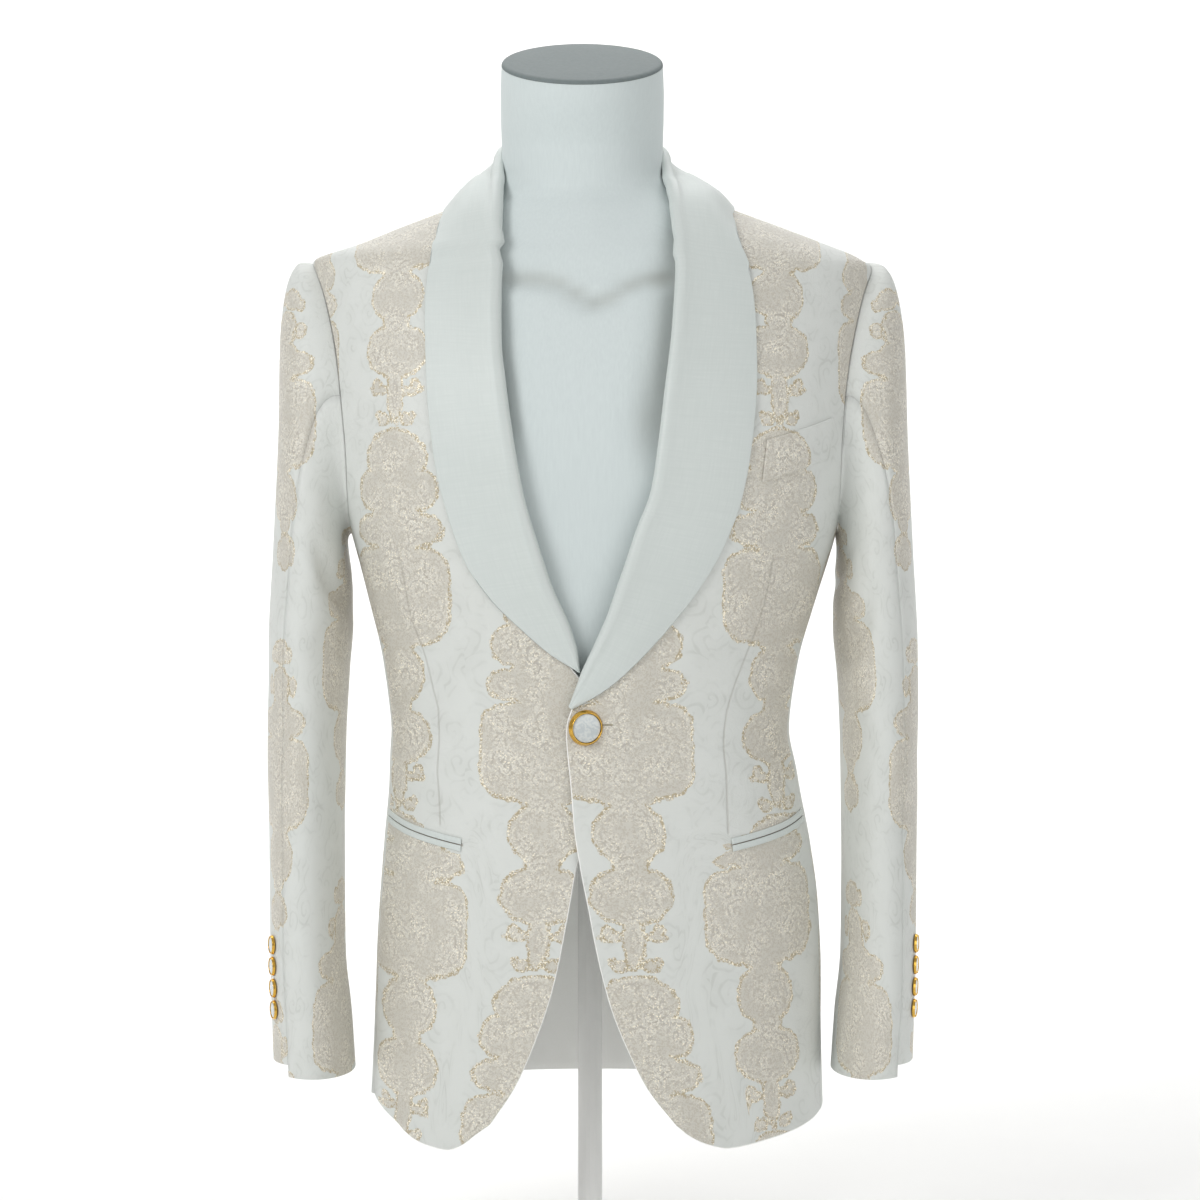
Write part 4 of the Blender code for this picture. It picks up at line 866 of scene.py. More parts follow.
pocket = {
    "line": [(36.5, 0.3385), (46.0, 0.3425), (57.0, 0.3470), (68.0, 0.3515), (76.0, 0.3540)],
    "clothUp": {1: 0.053, -1: 0.041},
    "clothAhead": 0.020,
    "movedHeights": (0.13, 0.23),
    "movedFrom": {1: (34.0, 19.0), -1: (38.0, 27.0)},  # degrees from the middle at those heights
    "movedBlend": 8.0,
    "blur": (0.0025, 0.020),  # at the pocket, and how much more ahead of it
    "blurAngles": (33.0, 37.0),
    "jet": 0.0046,
    "mouth": 0.0007,
    "lift": 0.0004,
    "thickness": 0.0011,
    "cut": (0.092, 0.010, 0.0005),
}


def seamDown(start, seam, hemHeight, side):
    waistAngle, hemAngle = fronts["seamAngles"][seam]
    marks = [
        (side * hemAngle, hemHeight),
        (side * (hemAngle + waistAngle) / 2, fronts["hip"]),
        (side * waistAngle, fronts["waist"]),
        (side * (waistAngle + abs(start[0])) / 2, (fronts["waist"] + start[1]) / 2),
        start,
    ]
    return resampled(marks, np.linspace(0, 1, fronts["seamSteps"] + 1))


def armHole(side):
    return armscye(side, np.arange(fronts["armSteps"] + 1) * 2 * math.pi / fronts["armSteps"])


def sideSeams(side):
    hole = armHole(side)
    front = seamDown(hole[fronts["sideFront"]], "front", fronts["sideHem"][side], side)
    back = seamDown(hole[fronts["sideBack"]], "back", fronts["backSideHem"], side)
    return front, back


def makePanel(name, places, side, cutAs, lines=None):
    places = refine(places, fronts["finer"], fronts["seamSteps"])
    outer = shell(places[..., 0], places[..., 1], 0.0, side)
    inner = shell(places[..., 0], places[..., 1], -body["cloth"], side)
    offsets = {key: lineOffsets(places, line) for key, line in (lines or {}).items()}
    uv = weavePlaces(places, side, cutAs)
    facing = sum(places.shape[:2]) - 1 if lines else 0
    edge = "faced" if lines else "sewn"
    piece = wall(name, outer, inner, uv, ["brocade", "lining"], edge, offsets, facing)
    addPiece(piece, [name])


def shoulderSeam(side, across):
    rise = (fronts["neckline"][-1][1] - body["shoulderTip"]) * across
    return joined(side * 90.0, body["shoulderTip"] + rise)


def makeFront(side):
    name = sideNames[side]
    opening = onShell(fronts["edge"][side]).tolist()
    rolls = [(x, z) for x, z, _, _ in shawls["chest"][side] if z > fronts["rollFrom"]]
    opening += onShell([(x + side * fronts["behindRoll"], z) for x, z in rolls]).tolist()
    opening += [(side * angle, z) for angle, z in fronts["underCollar"] + fronts["neckline"][-1:]]
    first = np.concatenate([sideSeams(side)[0], armHole(side)[fronts["sideFront"] - 1 :: -1]])
    last = resampled(opening, lengthShares(plainShell(*first.T)))
    across = np.linspace(0, 1, fronts["frontColumns"] + 1)
    bottom = resampled([first[0]] + onShell(fronts["hem"][side][1:]).tolist(), across)
    mouth = [(side * angle, height) for angle, height in pocket["line"]]
    lines = {"dart": onShell(fronts["dart"][side]), "mouth": mouth}
    places = patch(bottom, shoulderSeam(side, across), first, last)
    makePanel(f"front_{name}", places, side, "front", lines=lines)


def makeSidePanel(side):
    name = sideNames[side]
    first, last = sideSeams(side)
    top = armHole(side)[fronts["sideFront"] : fronts["sideBack"] + 1]
    middle = ((first[0][0] + last[0][0]) / 2, last[0][1] + 0.001)
    bottom = resampled([first[0], middle, last[0]], np.linspace(0, 1, len(top)))
    places = patch(bottom, top, first, last)
    makePanel(f"side_panel_{name}", places, side, "side")


def makeBack(side):
    name = sideNames[side]
    seam = sideSeams(side)[1]
    first = np.concatenate([seam, armHole(side)[fronts["sideBack"] + 1 :]])
    neckline = np.array(fronts["neckline"]) * [side, 1]
    count = len(first) - 1 - fronts["necklineSteps"]
    climb = body["backHem"] + (neckline[0][1] - body["backHem"]) * np.arange(count) / count
    centre = joined(side * 180.0, climb)
    last = np.concatenate([centre, resampled(neckline, np.linspace(0, 1, fronts["necklineSteps"] + 1))])
    across = np.linspace(0, 1, fronts["backColumns"] + 1)
    bottom = resampled([seam[0], (side * fronts["backMiddle"], body["backHem"]), centre[0]], across)
    makePanel(f"back_{name}", patch(bottom, shoulderSeam(side, across), first, last), side, "back")


def makeShawl(side):
    # an outer leaf, the roll, and a facing inside the front's edge
    name, c = sideNames[side], shawls
    rows = []
    for rollX, rollZ, edgeX, edgeZ in c["chest"][side]:
        rows.append((angleAt(rollX, rollZ), rollZ, angleAt(edgeX, edgeZ), edgeZ))
    rows = np.array(rows + [(side * row[0], row[1], side * row[2], row[3]) for row in c["collar"]])
    steps = np.linspace(0, 1, c["rows"] + 1)
    shares = 0.5 * steps + 0.5 * steps ** c["gather"]
    lines = readRows(lengthShares(plainShell(rows[:, 0], rows[:, 1])), rows, shares)
    roll, edge = lines[:, :2], lines[:, 2:]
    satin, clear = body["satin"], c["clearance"]
    rollPoint, edgePoint = shell(*roll.T, side=side), shell(*edge.T, side=side)
    away = unit(rollPoint - edgePoint)
    breadth = np.linalg.norm(rollPoint - edgePoint, axis=-1)

    def changing(key):
        amount, start, stop = c[key]
        return amount * ease(shares, start, stop)

    under = body["cloth"] + c["facingGap"] + satin
    insideOut = -(under + (satin + c["rest"] - under) * ease(shares, *c["tuck"]))
    facing = c["facing"] - changing("facingNarrow") + changing("facingWide")
    facing = np.minimum(facing, 0.8 * breadth) / breadth
    height, start, stop = c["bridge"]
    bridge = height * np.sin(math.pi * ease(shares, start, stop)) + c["bridgeLeast"]
    swell = np.minimum(c["swell"] - changing("swellLess"), 0.10 * breadth)
    outer, inner, across = [], [], []

    def lay(place, out):
        return shell(*place.T, out - c["tight"] * ease(place[:, 1], *c["hug"]), side)

    for stop in c["leafStops"]:
        place = roll + (edge - roll) * stop
        hump = math.sin(math.pi * min(1.0, c["crest"] * (1 - stop)))
        lie = clear + satin + bridge * hump + swell * (1 - stop) ** 3
        outer.append(lay(place, lie))
        inner.append(lay(place, lie - satin))
        across.append(breadth * stop)
    top = clear + satin + swell * 0.9
    reach = 0.5 * (top - insideOut) * np.minimum(1.0, breadth / c["fullRoll"])
    middle = 0.5 * (top + insideOut)
    for k in range(c["bends"]):
        turn = math.radians(c["bendAngle"] * (1 - 2 * k / (c["bends"] - 1)))
        bend, push = math.sin(turn) * c["bendHeight"], math.cos(turn)
        outer.append(lay(roll, middle + bend * (top - middle)) + away * (reach * push)[:, None])
        thin = np.maximum(reach * push - satin, c["leastBend"])
        inner.append(lay(roll, middle + bend * (top - satin - middle)) + away * thin[:, None])
        across.append(np.full(len(shares), -c["bendWidth"] * k))
    for stop in c["facingStops"]:
        place = roll + (edge - roll) * (facing * stop)[:, None]
        outer.append(lay(place, insideOut))
        inner.append(lay(place, insideOut + satin))
        across.append(-c["rollWidth"] - facing * breadth * stop)
    outer, inner, across = (np.stack(part, axis=1) for part in (outer, inner, across))
    uv = joined(across, lengthAlong((edgePoint + rollPoint) / 2)[:, None])
    piece = wall(f"shawl_{name}", outer, inner, uv, ["satin", "satin"], "collar")
    addPiece(piece, [f"shawl_{name}"])


for side in (-1, 1):
    makeFront(side)
    makeSidePanel(side)
    makeBack(side)
    makeShawl(side)
print("body panels and shawl collar made")


sleeves = {
    # outer x, outer z, inner x, inner z, front y, back y, how far it has left the armhole's shape
    "stations": [
        (0.2150, 0.7830, 0.1900, 0.5710, -0.052, 0.060, 0.00),
        (0.2265, 0.7720, 0.1925, 0.5620, -0.054, 0.064, 0.20),
        (0.2350, 0.7500, 0.1925, 0.5560, -0.056, 0.069, 0.45),
        (0.2430, 0.7050, 0.1915, 0.5480, -0.058, 0.075, 0.78),
        (0.2460, 0.6400, 0.1895, 0.5340, -0.060, 0.079, 1.00),
        (0.2500, 0.5600, 0.1885, 0.5080, -0.061, 0.077, 1.00),
        (0.2538, 0.4800, 0.1910, 0.4620, -0.061, 0.068, 1.00),
        (0.2540, 0.4100, 0.1935, 0.4040, -0.064, 0.058, 1.00),
        (0.2520, 0.3300, 0.1938, 0.3280, -0.070, 0.047, 1.00),
        (0.2510, 0.2500, 0.1930, 0.2500, -0.075, 0.037, 1.00),
        (0.2495, 0.2000, 0.1880, 0.2000, -0.078, 0.032, 1.00),
        (0.2480, 0.1580, 0.1850, 0.1560, -0.080, 0.030, 1.00),
    ],
    "frontSeam": [(0.0, 90.0), (0.25, 86.0), (0.42, 66.0), (0.60, 60.0), (1.0, 60.0)],
    "drift": 0.0024,
    "driftShares": (0.05, 0.35),
    # how it hangs off the armhole's edge
    "holeSteps": 96,
    "holeGap": 0.00025,
    "holeShift": 0.0006,
    "headShare": 0.12,
    "nearby": (0.004, 1.5),  # share and degrees over which a slope is taken
    "cuffNotch": 0.007,
    "length": 0.35,  # metres from the first ring to the last, near enough for the notch
    "cuffShares": (0.85, 1.0),
    "gather": 1.12,  # more than 1 sets the rings closer at the head
    "rings": 72,
    "steps": 36,
    "roundness": 0.0655,  # metres of cloth to a radian of turn
    "headRise": {1: 0.0030, -1: 0.0090},
    # where the pattern's axis lies: the sleeve's middle, its half breadth, and both changes above the elbow
    "weave": {
        "height": 0.471, "stretch": 1.065, "dropMore": 0.0823, "slim": 0.010,
        "middle": 0.2195, "middleHigh": -0.024, "half": 0.030, "halfHigh": 0.015, "highFrom": (0.55, 0.70),
        "headPull": 0.7, "headX": 0.238, "headSpan": 0.03, "headFrom": (0.70, 0.78),
    },
    # height, and how far round the weave's middle line lies there
    "weaveTurn": {
        1: [(0.20, 116.0), (0.35, 140.0), (0.46, 138.0), (0.56, 158.0), (0.62, 150.0), (0.68, 143.0)],
        -1: [(0.20, 152.0), (0.35, 165.0), (0.45, 166.0), (0.56, 172.0), (0.62, 153.0), (0.68, 139.0)],
    },
    # share, angle, reach, angle reach, tilt, rise
    "creases": {
        1: [
            (0.50, 130.0, 0.030, 36.0, 0.0010, -0.0060), (0.60, 100.0, 0.028, 46.0, -0.0012, 0.0020),
            (0.68, 40.0, 0.030, 40.0, 0.0010, -0.0018), (0.36, 165.0, 0.030, 34.0, 0.0008, -0.0030),
            (0.56, 250.0, 0.030, 50.0, 0.0010, 0.0026), (0.66, 262.0, 0.026, 44.0, -0.0010, -0.0024),
            (0.88, 75.0, 0.050, 22.0, 0.0000, 0.0016),
        ],
        -1: [
            (0.42, 138.0, 0.034, 30.0, 0.0006, -0.0095), (0.52, 118.0, 0.030, 40.0, -0.0010, -0.0026),
            (0.62, 60.0, 0.030, 44.0, 0.0010, -0.0018), (0.55, 255.0, 0.030, 52.0, 0.0010, 0.0026),
            (0.64, 248.0, 0.028, 42.0, -0.0010, -0.0024), (0.86, 95.0, 0.060, 24.0, 0.0000, 0.0018),
        ],
    },
    "cut": {"sleeve_front": (0.155, 0.58, 0.0685), "sleeve_back": (0.19, 0.64, 0.091)},
}


def sleeveReader(side):
    shares = np.linspace(0, 1, len(sleeves["stations"]))
    read = [through(shares, column) for column in zip(*sleeves["stations"])]
    outerX, outerZ, innerX, innerZ, frontY, backY, roundShare = read
    steps = sleeves["holeSteps"]
    hole = armscye(side, np.arange(steps) * 2 * math.pi / steps)
    outside, inside = shell(*hole.T, side=side), shell(*hole.T, -body["cloth"], side)
    away = np.roll(outside, -1, axis=0) - np.roll(outside, 1, axis=0)
    into = unit(np.cross(outside - inside, away))
    into *= np.sign((into * (outside.mean(axis=0) - outside)).sum(axis=1, keepdims=True))
    shift = into * sleeves["holeGap"] + np.array([side * sleeves["holeShift"], 0, 0])
    outside, inside = outside + shift, inside + shift

    def ringPoint(points, angle):
        at = (np.asarray(angle) % 360) / (360 / steps)
        k = at.astype(int) % steps
        return points[k] + (points[(k + 1) % steps] - points[k]) * (at - at.astype(int))[..., None]

    def smoothTube(share, angle):
        turn = np.radians(angle)
        one, other = (outerX(share), outerZ(share)), (innerX(share), innerZ(share))
        x, z = ((a + b) / 2 + (a - b) / 2 * np.cos(turn) for a, b in zip(one, other))
        y = (frontY(share) + backY(share)) / 2 - (backY(share) - frontY(share)) / 2 * np.sin(turn)
        outward = np.maximum(np.cos(turn), 0)
        head = np.sin(math.pi * np.clip(share / sleeves["headShare"], 0, 1))
        z = z + sleeves["headRise"][side] * head * outward ** 1.5
        tube = joined(side * x + sleeves["drift"] * ease(share, *sleeves["driftShares"]), y, z)
        left = roundShare(share) ** (1 - 0.3 * (1 - np.cos(turn)))
        lead = outward ** 0.5 * (1 - left) * (one[0] - sleeves["stations"][0][0])
        lead = np.where(left < 1, lead, 0.0)[..., None] * np.array([side, 0, 0])
        ring = ringPoint(outside, angle)
        return ring + (tube - ring) * left[..., None] + lead

    def readPoint(share, angle, out=0.0):
        share, angle = np.broadcast_arrays(np.asarray(share, float), np.asarray(angle, float))
        step, turn = sleeves["nearby"]
        down = smoothTube(np.minimum(share + step, 1), angle) - smoothTube(np.maximum(share - step, 0), angle)
        aroundIt = smoothTube(share, angle + turn) - smoothTube(share, angle - turn)
        normal = unit(np.cross(aroundIt, down) * side)
        rise = np.full(share.shape, float(out))
        for middle, at, reach, spread, tilt, height in sleeves["creases"][side]:
            offAngle = (angle - at + 180) % 360 - 180
            offShare = share - middle - tilt * offAngle
            rise += height * bell(offShare, reach) * bell(offAngle, spread)
        point = smoothTube(share, angle) + normal * rise[..., None]
        start = ringPoint(outside if out >= 0 else inside, angle)
        return np.where((share == 0)[..., None], start, point)

    return readPoint


def makeSleeve(side):
    point = sleeveReader(side)
    seam = through(*zip(*sleeves["frontSeam"]))
    steps, w = sleeves["steps"], sleeves["weave"]
    stations = np.array(sleeves["stations"])[::-1]
    shares = (np.linspace(0, 1, sleeves["rings"] + 1) ** sleeves["gather"])[:, None]
    across = np.arange(steps + 1)[None, :] / steps
    for piece, start, notch in (("sleeve_front", 0.0, 0.0), ("sleeve_back", 180.0, sleeves["cuffNotch"])):
        share = shares - notch / sleeves["length"] * ease(shares, *sleeves["cuffShares"]) * across
        angle = seam(shares) + start + 180.0 * across
        outer, inner = point(share, angle), point(share, angle, -body["cloth"])
        x, z = side * outer[..., 0], outer[..., 2]
        high = ease(z, *w["highFrom"])
        front, back = (through(stations[:, 1], stations[:, k])(z) for k in (4, 5))
        beside = (x - w["middle"] - w["middleHigh"] * high) / (w["half"] + w["halfHigh"] * high)
        ahead = ((front + back) / 2 - outer[..., 1]) / (back - front) * 2
        turn = np.unwrap(np.arctan2(ahead, beside), axis=1)
        turn = turn + 2 * math.pi * np.round((np.radians(angle - 2 * start) - turn) / (2 * math.pi))
        turn = turn - np.radians(through(*zip(*sleeves["weaveTurn"][side]))(z))
        head = w["headPull"] * np.clip(w["headX"] - x, 0, w["headSpan"]) * ease(z, *w["headFrom"])
        uv = joined(turn * sleeves["roundness"], (z + head - w["height"]) * w["stretch"])
        higher = {"higher": joined(0 * x + w["slim"], 0.0, w["dropMore"])}
        name = f"{piece}_{sideNames[side]}"
        sheet = wall(name, outer, inner, uv, ["brocade", "lining"], "sleeve", higher)
        addPiece(sheet, [name])


for side in (-1, 1):
    makeSleeve(side)
print("sleeves made")


def makeStrip(name, places, lift, thickness, side, uv, finish, edge):
    # a strip of cloth sewn on over the places
    angle, height = places
    outer = shell(angle, height, lift + thickness, side)
    inner = shell(angle, height, lift, side)
    return wall(name, outer, inner, uv, finish, edge)


def makePocket(side):
    line = resampled(pocket["line"], np.linspace(0, 1, 49)) * [side, 1]
    across = np.linspace(-0.5, 0.5, 9)
    crown = pocket["thickness"] * (0.75 + 0.25 * np.cos(across * math.pi))
    for piece, way in (("upper", 0.5), ("lower", -0.5)):
        angle = line[:, :1] + 0 * across
        height = line[:, 1:] + way * (pocket["jet"] + pocket["mouth"]) + pocket["jet"] * across
        uv = joined(height, angle * body["metresPerDegree"])
        node = f"pocket_jet_{piece}_{sideNames[side]}"
        strip = makeStrip(node, (angle, height), pocket["lift"], crown, side, uv, ["satin", "satin"], "jet")
        addPiece(strip, [node])


welt = {
    "low": (37.5, 0.6115),
    "high": (57.3, 0.6290),
    "depth": 0.0315,
    "gap": 0.0007,
    "thickness": 0.0014,
    "cut": (0.068, 0.0315, 0.0020),
}


def makeWelt():
    along, up = np.meshgrid(np.linspace(0, 1, 41), np.linspace(0, 1, 17), indexing="ij")
    angle, height = (low + (high - low) * along for low, high in zip(welt["low"], welt["high"]))
    height = height + welt["depth"] * up
    uv = weavePlaces(joined(angle, height), 1, "front")
    places, finish = (angle, height), ["brocade", "lining"]
    piece = makeStrip("breast_welt", places, welt["gap"], welt["thickness"], 1, uv, finish, "welt")
    addPiece(piece, ["breast_welt"])


for side in (-1, 1):
    makePocket(side)
makeWelt()
print("pockets made")

buttons = {
    "front": {
        "radius": 0.0130, "x": -0.003, "height": 0.4285, "lift": 0.0006, "ahead": 0.0014,
        "axis": (0.34, -1.0, -0.06), "steps": 96,
    },
    "cuff": {"radius": 0.0072, "top": 0.2565, "spacing": 0.0166, "angle": {1: 27.0, -1: 36.0}, "steps": 64},
    "seat": 0.0004,
    # shares of the radius; the well's depth and the pearl's crown are shares of the height
    "tall": 0.32,
    "lip": 0.06,
    "well": (0.865, 0.45),
    "foot": [(1.01, 0.03), (1.04, 0.065), (1.03, 0.11)],
    "crown": [(1.0, 0.66), (0.985, 0.74), (0.93, 0.80), (0.8, 0.86), (0.6, 0.90), (0.3, 0.93), (0.0, 0.94)],
    "gap": 0.0003,
    "soft": 0.0001,
    "merge": 0.000002,
}


def makeTurned(name, profile, steps, centre, axis, finish):
    # the profile holds (radius, height along the axis), starts and ends on the axis, and is spun round it
    bpy.ops.mesh.primitive_circle_add(vertices=len(profile), radius=profile[1][0], calc_uvs=False)
    piece = bpy.context.object
    for vertex, (radius, height) in zip(piece.data.vertices, profile):
        vertex.co = (radius, 0, height)
    piece.data.vertices.foreach_set("select", [False] * len(profile))
    closing = {0, len(profile) - 1}
    piece.data.edges.foreach_set("select", [set(edge.vertices) == closing for edge in piece.data.edges])
    bpy.ops.object.mode_set(mode="EDIT")
    bpy.ops.mesh.select_mode(type="EDGE")
    bpy.ops.mesh.delete(type="EDGE")
    bpy.ops.mesh.select_all(action="SELECT")
    bpy.ops.mesh.spin(steps=steps, angle=-2 * math.pi, center=(0, 0, 0), axis=(0, 0, 1))
    bpy.ops.mesh.select_all(action="SELECT")
    bpy.ops.mesh.remove_doubles(threshold=buttons["merge"])
    bpy.ops.object.mode_set(mode="OBJECT")
    upward = Vector(axis).normalized()
    one = Vector((0, 0, 1)).cross(upward).normalized()
    turned = Matrix((one, upward.cross(one), upward)).transposed().to_4x4()
    piece.matrix_world = Matrix.Translation(centre) @ turned
    bpy.ops.object.transform_apply()
    piece.name = f"{name}_real"
    piece.data.materials.append(finishes[finish])
    piece.data.shade_smooth()
    return piece


def makeButton(name, radius, centre, axis, steps):
    # the rim leans in from foot to lip, so a tilted button shows more of it on one side
    tall, lip = buttons["tall"] * radius, buttons["lip"] * radius
    seat, bottom = buttons["well"][0] * radius, buttons["well"][1] * tall
    soft, gap = buttons["soft"], buttons["gap"]
    rim = [(0, 0), (0.55 * radius, 0), (0.90 * radius, soft)]
    rim += [(wide * radius, high * radius) for wide, high in buttons["foot"]]
    for turn in np.radians(np.linspace(10, 180, 13)):
        rim.append((seat + 0.5 * lip * (1 + math.cos(turn)), tall - 0.5 * lip * (1 - math.sin(turn))))
    rim += [(seat, bottom + 2 * soft), (seat - soft, bottom), (0, bottom)]
    flat, floor = seat - gap, bottom + gap
    pearl = [(0, floor), (flat - 2 * soft, floor), (flat, floor + 2 * soft)]
    pearl += [(flat * wide, tall * high) for wide, high in buttons["crown"]]
    for part, profile, finish in (("rim", rim, "gold"), ("pearl", pearl, "pearl")):
        piece = makeTurned(f"{name}_{part}", profile, steps, centre, axis, finish)
        addPiece(piece, [f"{name}_{part}"])


buttonhole = {
    "from": 0.003, "to": 0.0172, "height": 0.4305, "breadth": 0.0011,
    "lift": 0.0001, "least": 0.00005, "thickness": 0.0005, "tack": 0.001,
}


def makeButtonhole():
    # silk twist worked over the slit, thinner at its ends
    b = buttonhole
    x, across = np.meshgrid(np.linspace(b["from"], b["to"], 41), np.linspace(-0.5, 0.5, 7), indexing="ij")
    height = b["height"] + b["breadth"] * across
    ends = 1.0
    for past in (x - b["from"], b["to"] - x):
        ends = ends * np.sin(math.pi * np.clip(past / b["tack"], 0, 0.5))
    crown = b["least"] + b["thickness"] * np.cos(across * 2.4) * (0.4 + 0.6 * ends)
    places, uv, finish = (angleAt(x, height), height), joined(height, x), ["twist", "twist"]
    piece = makeStrip("buttonhole", places, b["lift"], crown, 1, uv, finish, "twist")
    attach(piece, "root")


def makeButtons():
    b = buttons["front"]
    foot = shell(angleAt(b["x"], b["height"]), b["height"], b["lift"], 1)
    makeButton("front_button", b["radius"], foot - np.array([0, b["ahead"], 0]), b["axis"], b["steps"])
    b = buttons["cuff"]
    for side in (-1, 1):
        point, angle = sleeveReader(side), b["angle"][side]
        fine = np.linspace(0, 1, 2001)
        fall = point(fine, angle)[:, 2]
        for k in range(4):
            share = fine[np.argmax(fall <= b["top"] - b["spacing"] * k)]
            under, seat = point(share, angle), point(share, angle, buttons["seat"])
            makeButton(f"cuff_button_{sideNames[side]}_{k + 1}", b["radius"], seat, seat - under, b["steps"])


makeButtonhole()
makeButtons()
print("buttons made")

form = {
    "steps": 96,
    "clearance": [
        (0.340, 0.0180), (0.372, 0.0105), (0.480, 0.0100), (0.620, 0.0110), (0.720, 0.0100),
        (0.770, 0.0070), (0.786, 0.0050), (0.800, 0.0035), (0.820, 0.0035), (0.836, 0.0056),
        (0.846, 0.0062), (0.868, 0.0042), (0.900, 0.0024),
    ],
    # further in under the collar, narrower at the shoulder's side, steeper up to the neck: how much and where
    "underCollar": (0.0028, (0.735, 0.775, 0.832, 0.850)),
    "underCollarAngles": (52.0, 78.0),
    "narrow": (0.035, (0.70, 0.775, 0.786, 0.80)),
    "steep": (1.1, (0.780, 0.795, 0.826, 0.845)),
    "bodyLevels": [
        0.352, 0.358, 0.375, 0.41, 0.45, 0.49, 0.53, 0.57, 0.61, 0.65, 0.69, 0.725, 0.75, 0.770,
        0.784, 0.794, 0.803, 0.812, 0.821, 0.830, 0.839, 0.852, 0.868,
    ],
    # height, half width, front, back
    "neck": [
        (0.8850, 0.0634, 0.0495, 0.0726), (0.9050, 0.0637, 0.0560, 0.0695), (0.9370, 0.0627, 0.0600, 0.0620),
    ],
    "neckShares": (0.35, 0.62, 0.86, 1.0),
    "neckX": -0.006,
    "capMiddle": 0.9345,
    "capSlope": 0.375,
    "capThickness": 0.003,
    "capGap": 0.00008,
    # reach from the middle and share of the thickness, from the underside over the edge to the top
    "capProfile": [
        (0.5, 0.0), (0.99, 0.0), (1.0, 0.02), (0.999, 0.2), (0.994, 0.45), (0.984, 0.68), (0.970, 0.85),
        (0.952, 0.96), (0.93, 1.0), (0.5, 1.0),
    ],
    # the raised front of the chest, its top line with a notch, and the sunk parts beside it; shadeDrop and
    # sinkShade set painted shade under the top line and painted lapel shadow on the sunk parts
    "chest": {
        "rise": 0.0026, "groove": 0.0044, "breadth": 0.0062, "half": (0.052, 0.075), "fade": (0.56, 0.70),
        "top": 0.763, "edge": 0.012, "notch": 0.019, "notchX": 0.0055, "notchBreadth": 0.022,
        "sink": 0.0075, "sinkSpan": (0.61, 0.66, 0.79, 0.84), "sinkBlend": 0.022,
        "shadeDrop": 0.002, "sinkShade": 0.9,
    },
    # height, and how far out the flat of the chest reaches on the right and on the left
    "chestFlat": [(0.66, 0.050, 0.026), (0.755, 0.060, 0.045), (0.767, 0.057, 0.042), (0.83, 0.062, 0.058)],
}


def formRing(level):
    clear = through(*zip(*form["clearance"]))
    angle = 360.0 * np.arange(form["steps"]) / form["steps"] - 180
    shifts = (form["underCollar"], form["narrow"], form["steep"])
    under, narrow, steep = (much * between(level, *span) for much, span in shifts)
    gap = clear(level) + under * (1 - ease(abs(angle), *form["underCollarAngles"]))
    here = plainShell(angle, level)
    lean = drift(level)
    beside = abs(np.sin(np.radians(angle)))
    inward = joined(here[:, 0] - lean, here[:, 1] - sideY(level), 0.0) * (1 - narrow * beside ** 6)[:, None]
    shrink = 1 - gap * (1 + steep * beside) / np.linalg.norm(inward, axis=-1)
    return np.array([lean if level > 0.6 else lean * 0.5, sideY(level), level]) + inward * shrink[:, None]


def neckRing(share):
    halfAcross, ahead, behind = readColumns(form["neck"])
    top = form["bodyLevels"][-1]
    height = top + (form["capMiddle"] - top) * share
    turn = 2 * math.pi * np.arange(form["steps"]) / form["steps"] - math.pi
    x = form["neckX"] + halfAcross(height) * np.sin(turn)
    y = 0.5 * (behind(height) - ahead(height)) - 0.5 * (ahead(height) + behind(height)) * np.cos(turn)
    return joined(x, y, height + share ** 2 * form["capSlope"] * y)


def tube(name, rings, finish):
    # closed rings joined into one skin, with a middle point at each end
    steps = len(rings[0])
    vertices = list(np.concatenate(rings)) + [np.mean(rings[0], axis=0), np.mean(rings[-1], axis=0)]
    faces = []
    for j in range(len(rings) - 1):
        for k in range(steps):
            a, b = j * steps + k, j * steps + (k + 1) % steps
            faces.append((a, b, b + steps, a + steps))
    last = (len(rings) - 1) * steps
    faces += [(len(rings) * steps, (k + 1) % steps, k) for k in range(steps)]
    faces += [(len(rings) * steps + 1, last + k, last + (k + 1) % steps) for k in range(steps)]
    return newMesh(name, vertices, faces, [finish])


def makeForm():
    rings = [formRing(level) for level in form["bodyLevels"]]
    rings += [neckRing(share) for share in form["neckShares"]]
    marks = np.arange(len(rings))
    smooth = readRows(marks, rings, np.linspace(0, marks[-1], marks[-1] * 8 + 1))
    chest, (x, y, z) = form["chest"], np.moveaxis(smooth.copy(), -1, 0)
    top = chest["top"] - chest["notch"] * bell(x - chest["notchX"], chest["notchBreadth"])
    middle = (1 - ease(abs(x), *chest["half"])) * (y < 0)
    raised = chest["rise"] * (1 - ease(z - top, -chest["edge"], 0.0)) * ease(z, *chest["fade"])
    high, right, left = zip(*form["chestFlat"])
    flat = np.where(x < 0, np.interp(z, high, right), np.interp(z, high, left))
    besides = ease(abs(x) - flat, 0.0, chest["sinkBlend"]) * between(z, *chest["sinkSpan"]) * (y < 0)
    smooth[..., 1] += middle * (chest["groove"] * bell(z - top, chest["breadth"]) - raised)
    smooth[..., 1] += chest["sink"] * besides
    torso = tube("form_torso", smooth, "jersey")
    # painted shade for the jersey: a dark band under the chest's top line, and painted shadow of the lapels
    # on the sunk parts
    shade = middle * bell(z - top - chest["shadeDrop"], chest["breadth"])
    shade += chest["sinkShade"] * besides * (smooth[..., 1] < 0)
    addVectors(torso, "shade", np.repeat(np.concatenate([shade.ravel(), [0, 0]]), 3))
    addPiece(torso, ["form_torso"])
    normal = unit(np.array([0, -form["capSlope"], 1]))
    edge = rings[-1] + normal * form["capGap"]
    middle = edge.mean(axis=0)
    rise = normal * form["capThickness"]
    crown = [middle + (edge - middle) * reach + rise * share for reach, share in form["capProfile"]]
    cap = tube("neck_cap", crown, "cap_grey")
    addPiece(cap, ["neck_cap"])


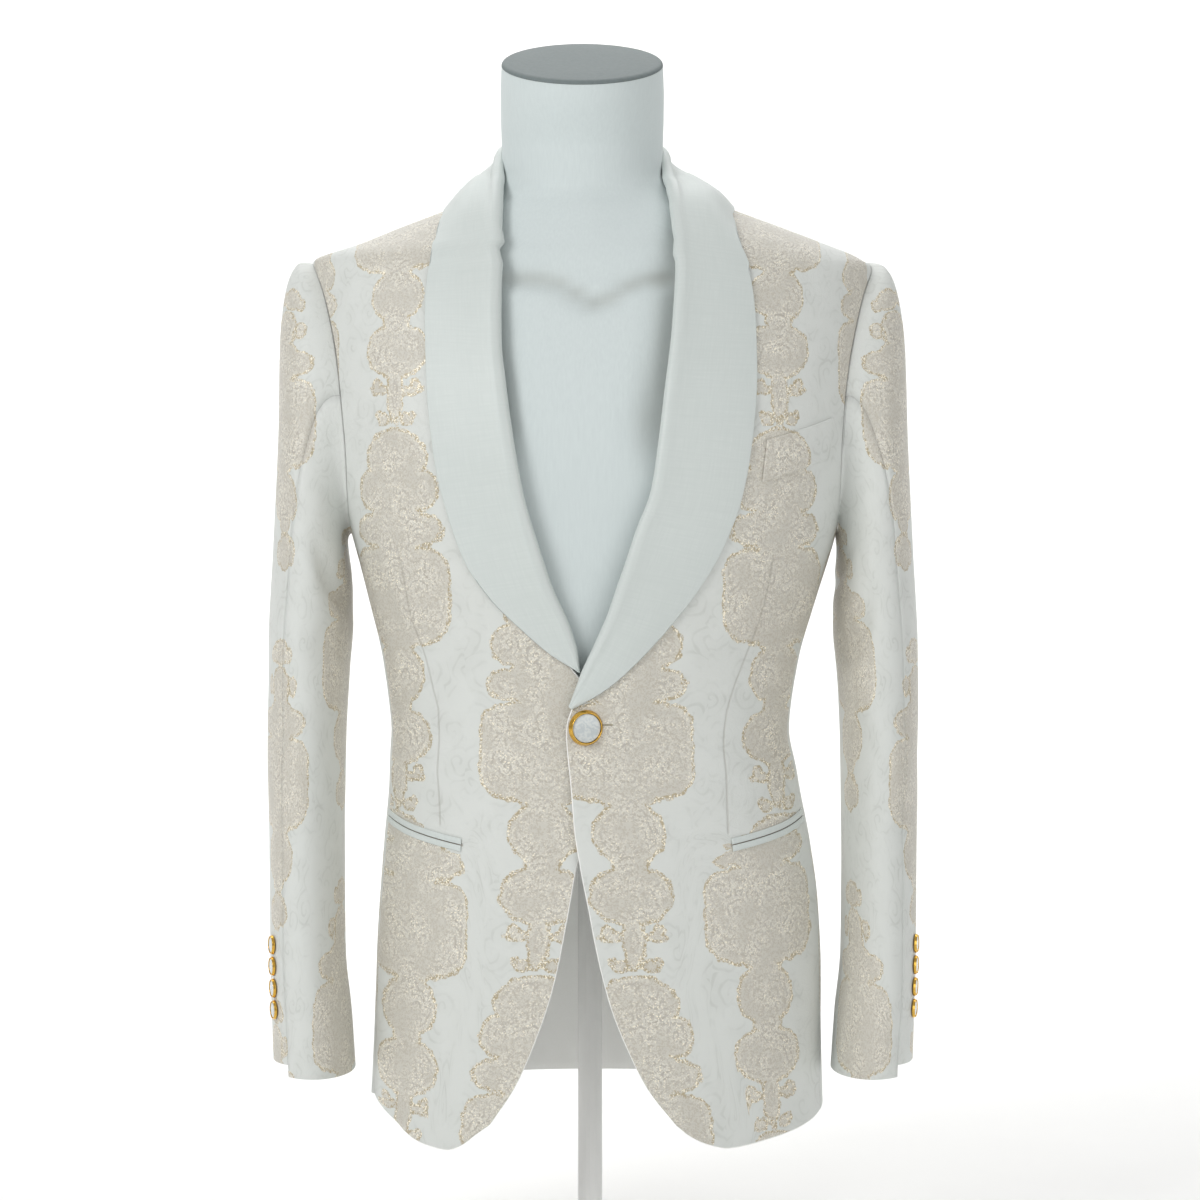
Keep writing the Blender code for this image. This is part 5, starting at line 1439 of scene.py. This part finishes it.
makeForm()
for node in ("stand_base", "stand_pole"):
    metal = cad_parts[node]
    metal.data.materials.clear()
    metal.data.materials.append(finishes["white_paint"])
print("form and stand made")

stage = {
    "front": -3.4, "back": 3.2, "height": 4.0, "bend": 0.9, "width": 10.0, "segments": 12,
    "daylight": 0.42,
}


def makeStage():
    # a pale paper sweep: a floor drawn up at the back, and its fold bent round
    bpy.ops.mesh.primitive_plane_add(size=1.0, calc_uvs=False)
    sweep = bpy.context.object
    bpy.ops.object.mode_set(mode="EDIT")
    bpy.ops.transform.resize(value=(stage["width"], stage["back"] - stage["front"], 1))
    bpy.ops.transform.translate(value=(0, (stage["back"] + stage["front"]) / 2, 0))
    for lift, bend in ((stage["height"], 0), (0, stage["bend"])):
        # the edge along the back at floor level
        bpy.ops.object.mode_set(mode="OBJECT")
        for part in (sweep.data.polygons, sweep.data.edges, sweep.data.vertices):
            part.foreach_set("select", [False] * len(part))
        for edge in sweep.data.edges:
            ends = [sweep.data.vertices[k].co for k in edge.vertices]
            edge.select = all(end.y > stage["back"] - 0.01 and end.z < 0.01 for end in ends)
        bpy.ops.object.mode_set(mode="EDIT")
        bpy.ops.mesh.select_mode(type="EDGE")
        if lift:
            bpy.ops.mesh.extrude_region_move(TRANSFORM_OT_translate={"value": (0, 0, lift)})
        else:
            bpy.ops.mesh.bevel(offset=bend, segments=stage["segments"], affect="EDGES")
    bpy.ops.object.mode_set(mode="OBJECT")
    sweep.name = "paper_sweep_real"
    sweep.data.materials.append(finishes["paper"])
    sweep.data.shade_smooth()


lights = [
    # name, place, aim, size, power
    ("key", (-2.2, -2.3, 2.0), (0, 0, 0.60), 1.3, 46.0),
    ("fill", (2.0, -2.6, 1.0), (0, 0, 0.55), 2.2, 21.0),
    ("top", (0.0, 0.2, 3.2), (0, 0, 0.6), 2.0, 5.0),
    ("backdrop", (0.0, 1.6, 3.0), (0, 3.2, 1.0), 3.0, 80.0),
]


def makeLights():
    for name, place, aim, size, power in lights:
        bpy.ops.object.light_add(type="AREA", location=place)
        light = bpy.context.object
        light.name = name
        light.data.size = size
        light.data.energy = power
        light.rotation_euler = (Vector(aim) - Vector(place)).to_track_quat("-Z", "Y").to_euler()
    world = bpy.data.worlds.new("studio")
    world.use_nodes = True
    sky = world.node_tree.nodes["Background"].inputs
    sky["Color"].default_value = hexColour("#FFFFFF")
    sky["Strength"].default_value = stage["daylight"]
    bpy.context.scene.world = world


makeStage()
makeLights()
print("stage and lights made")
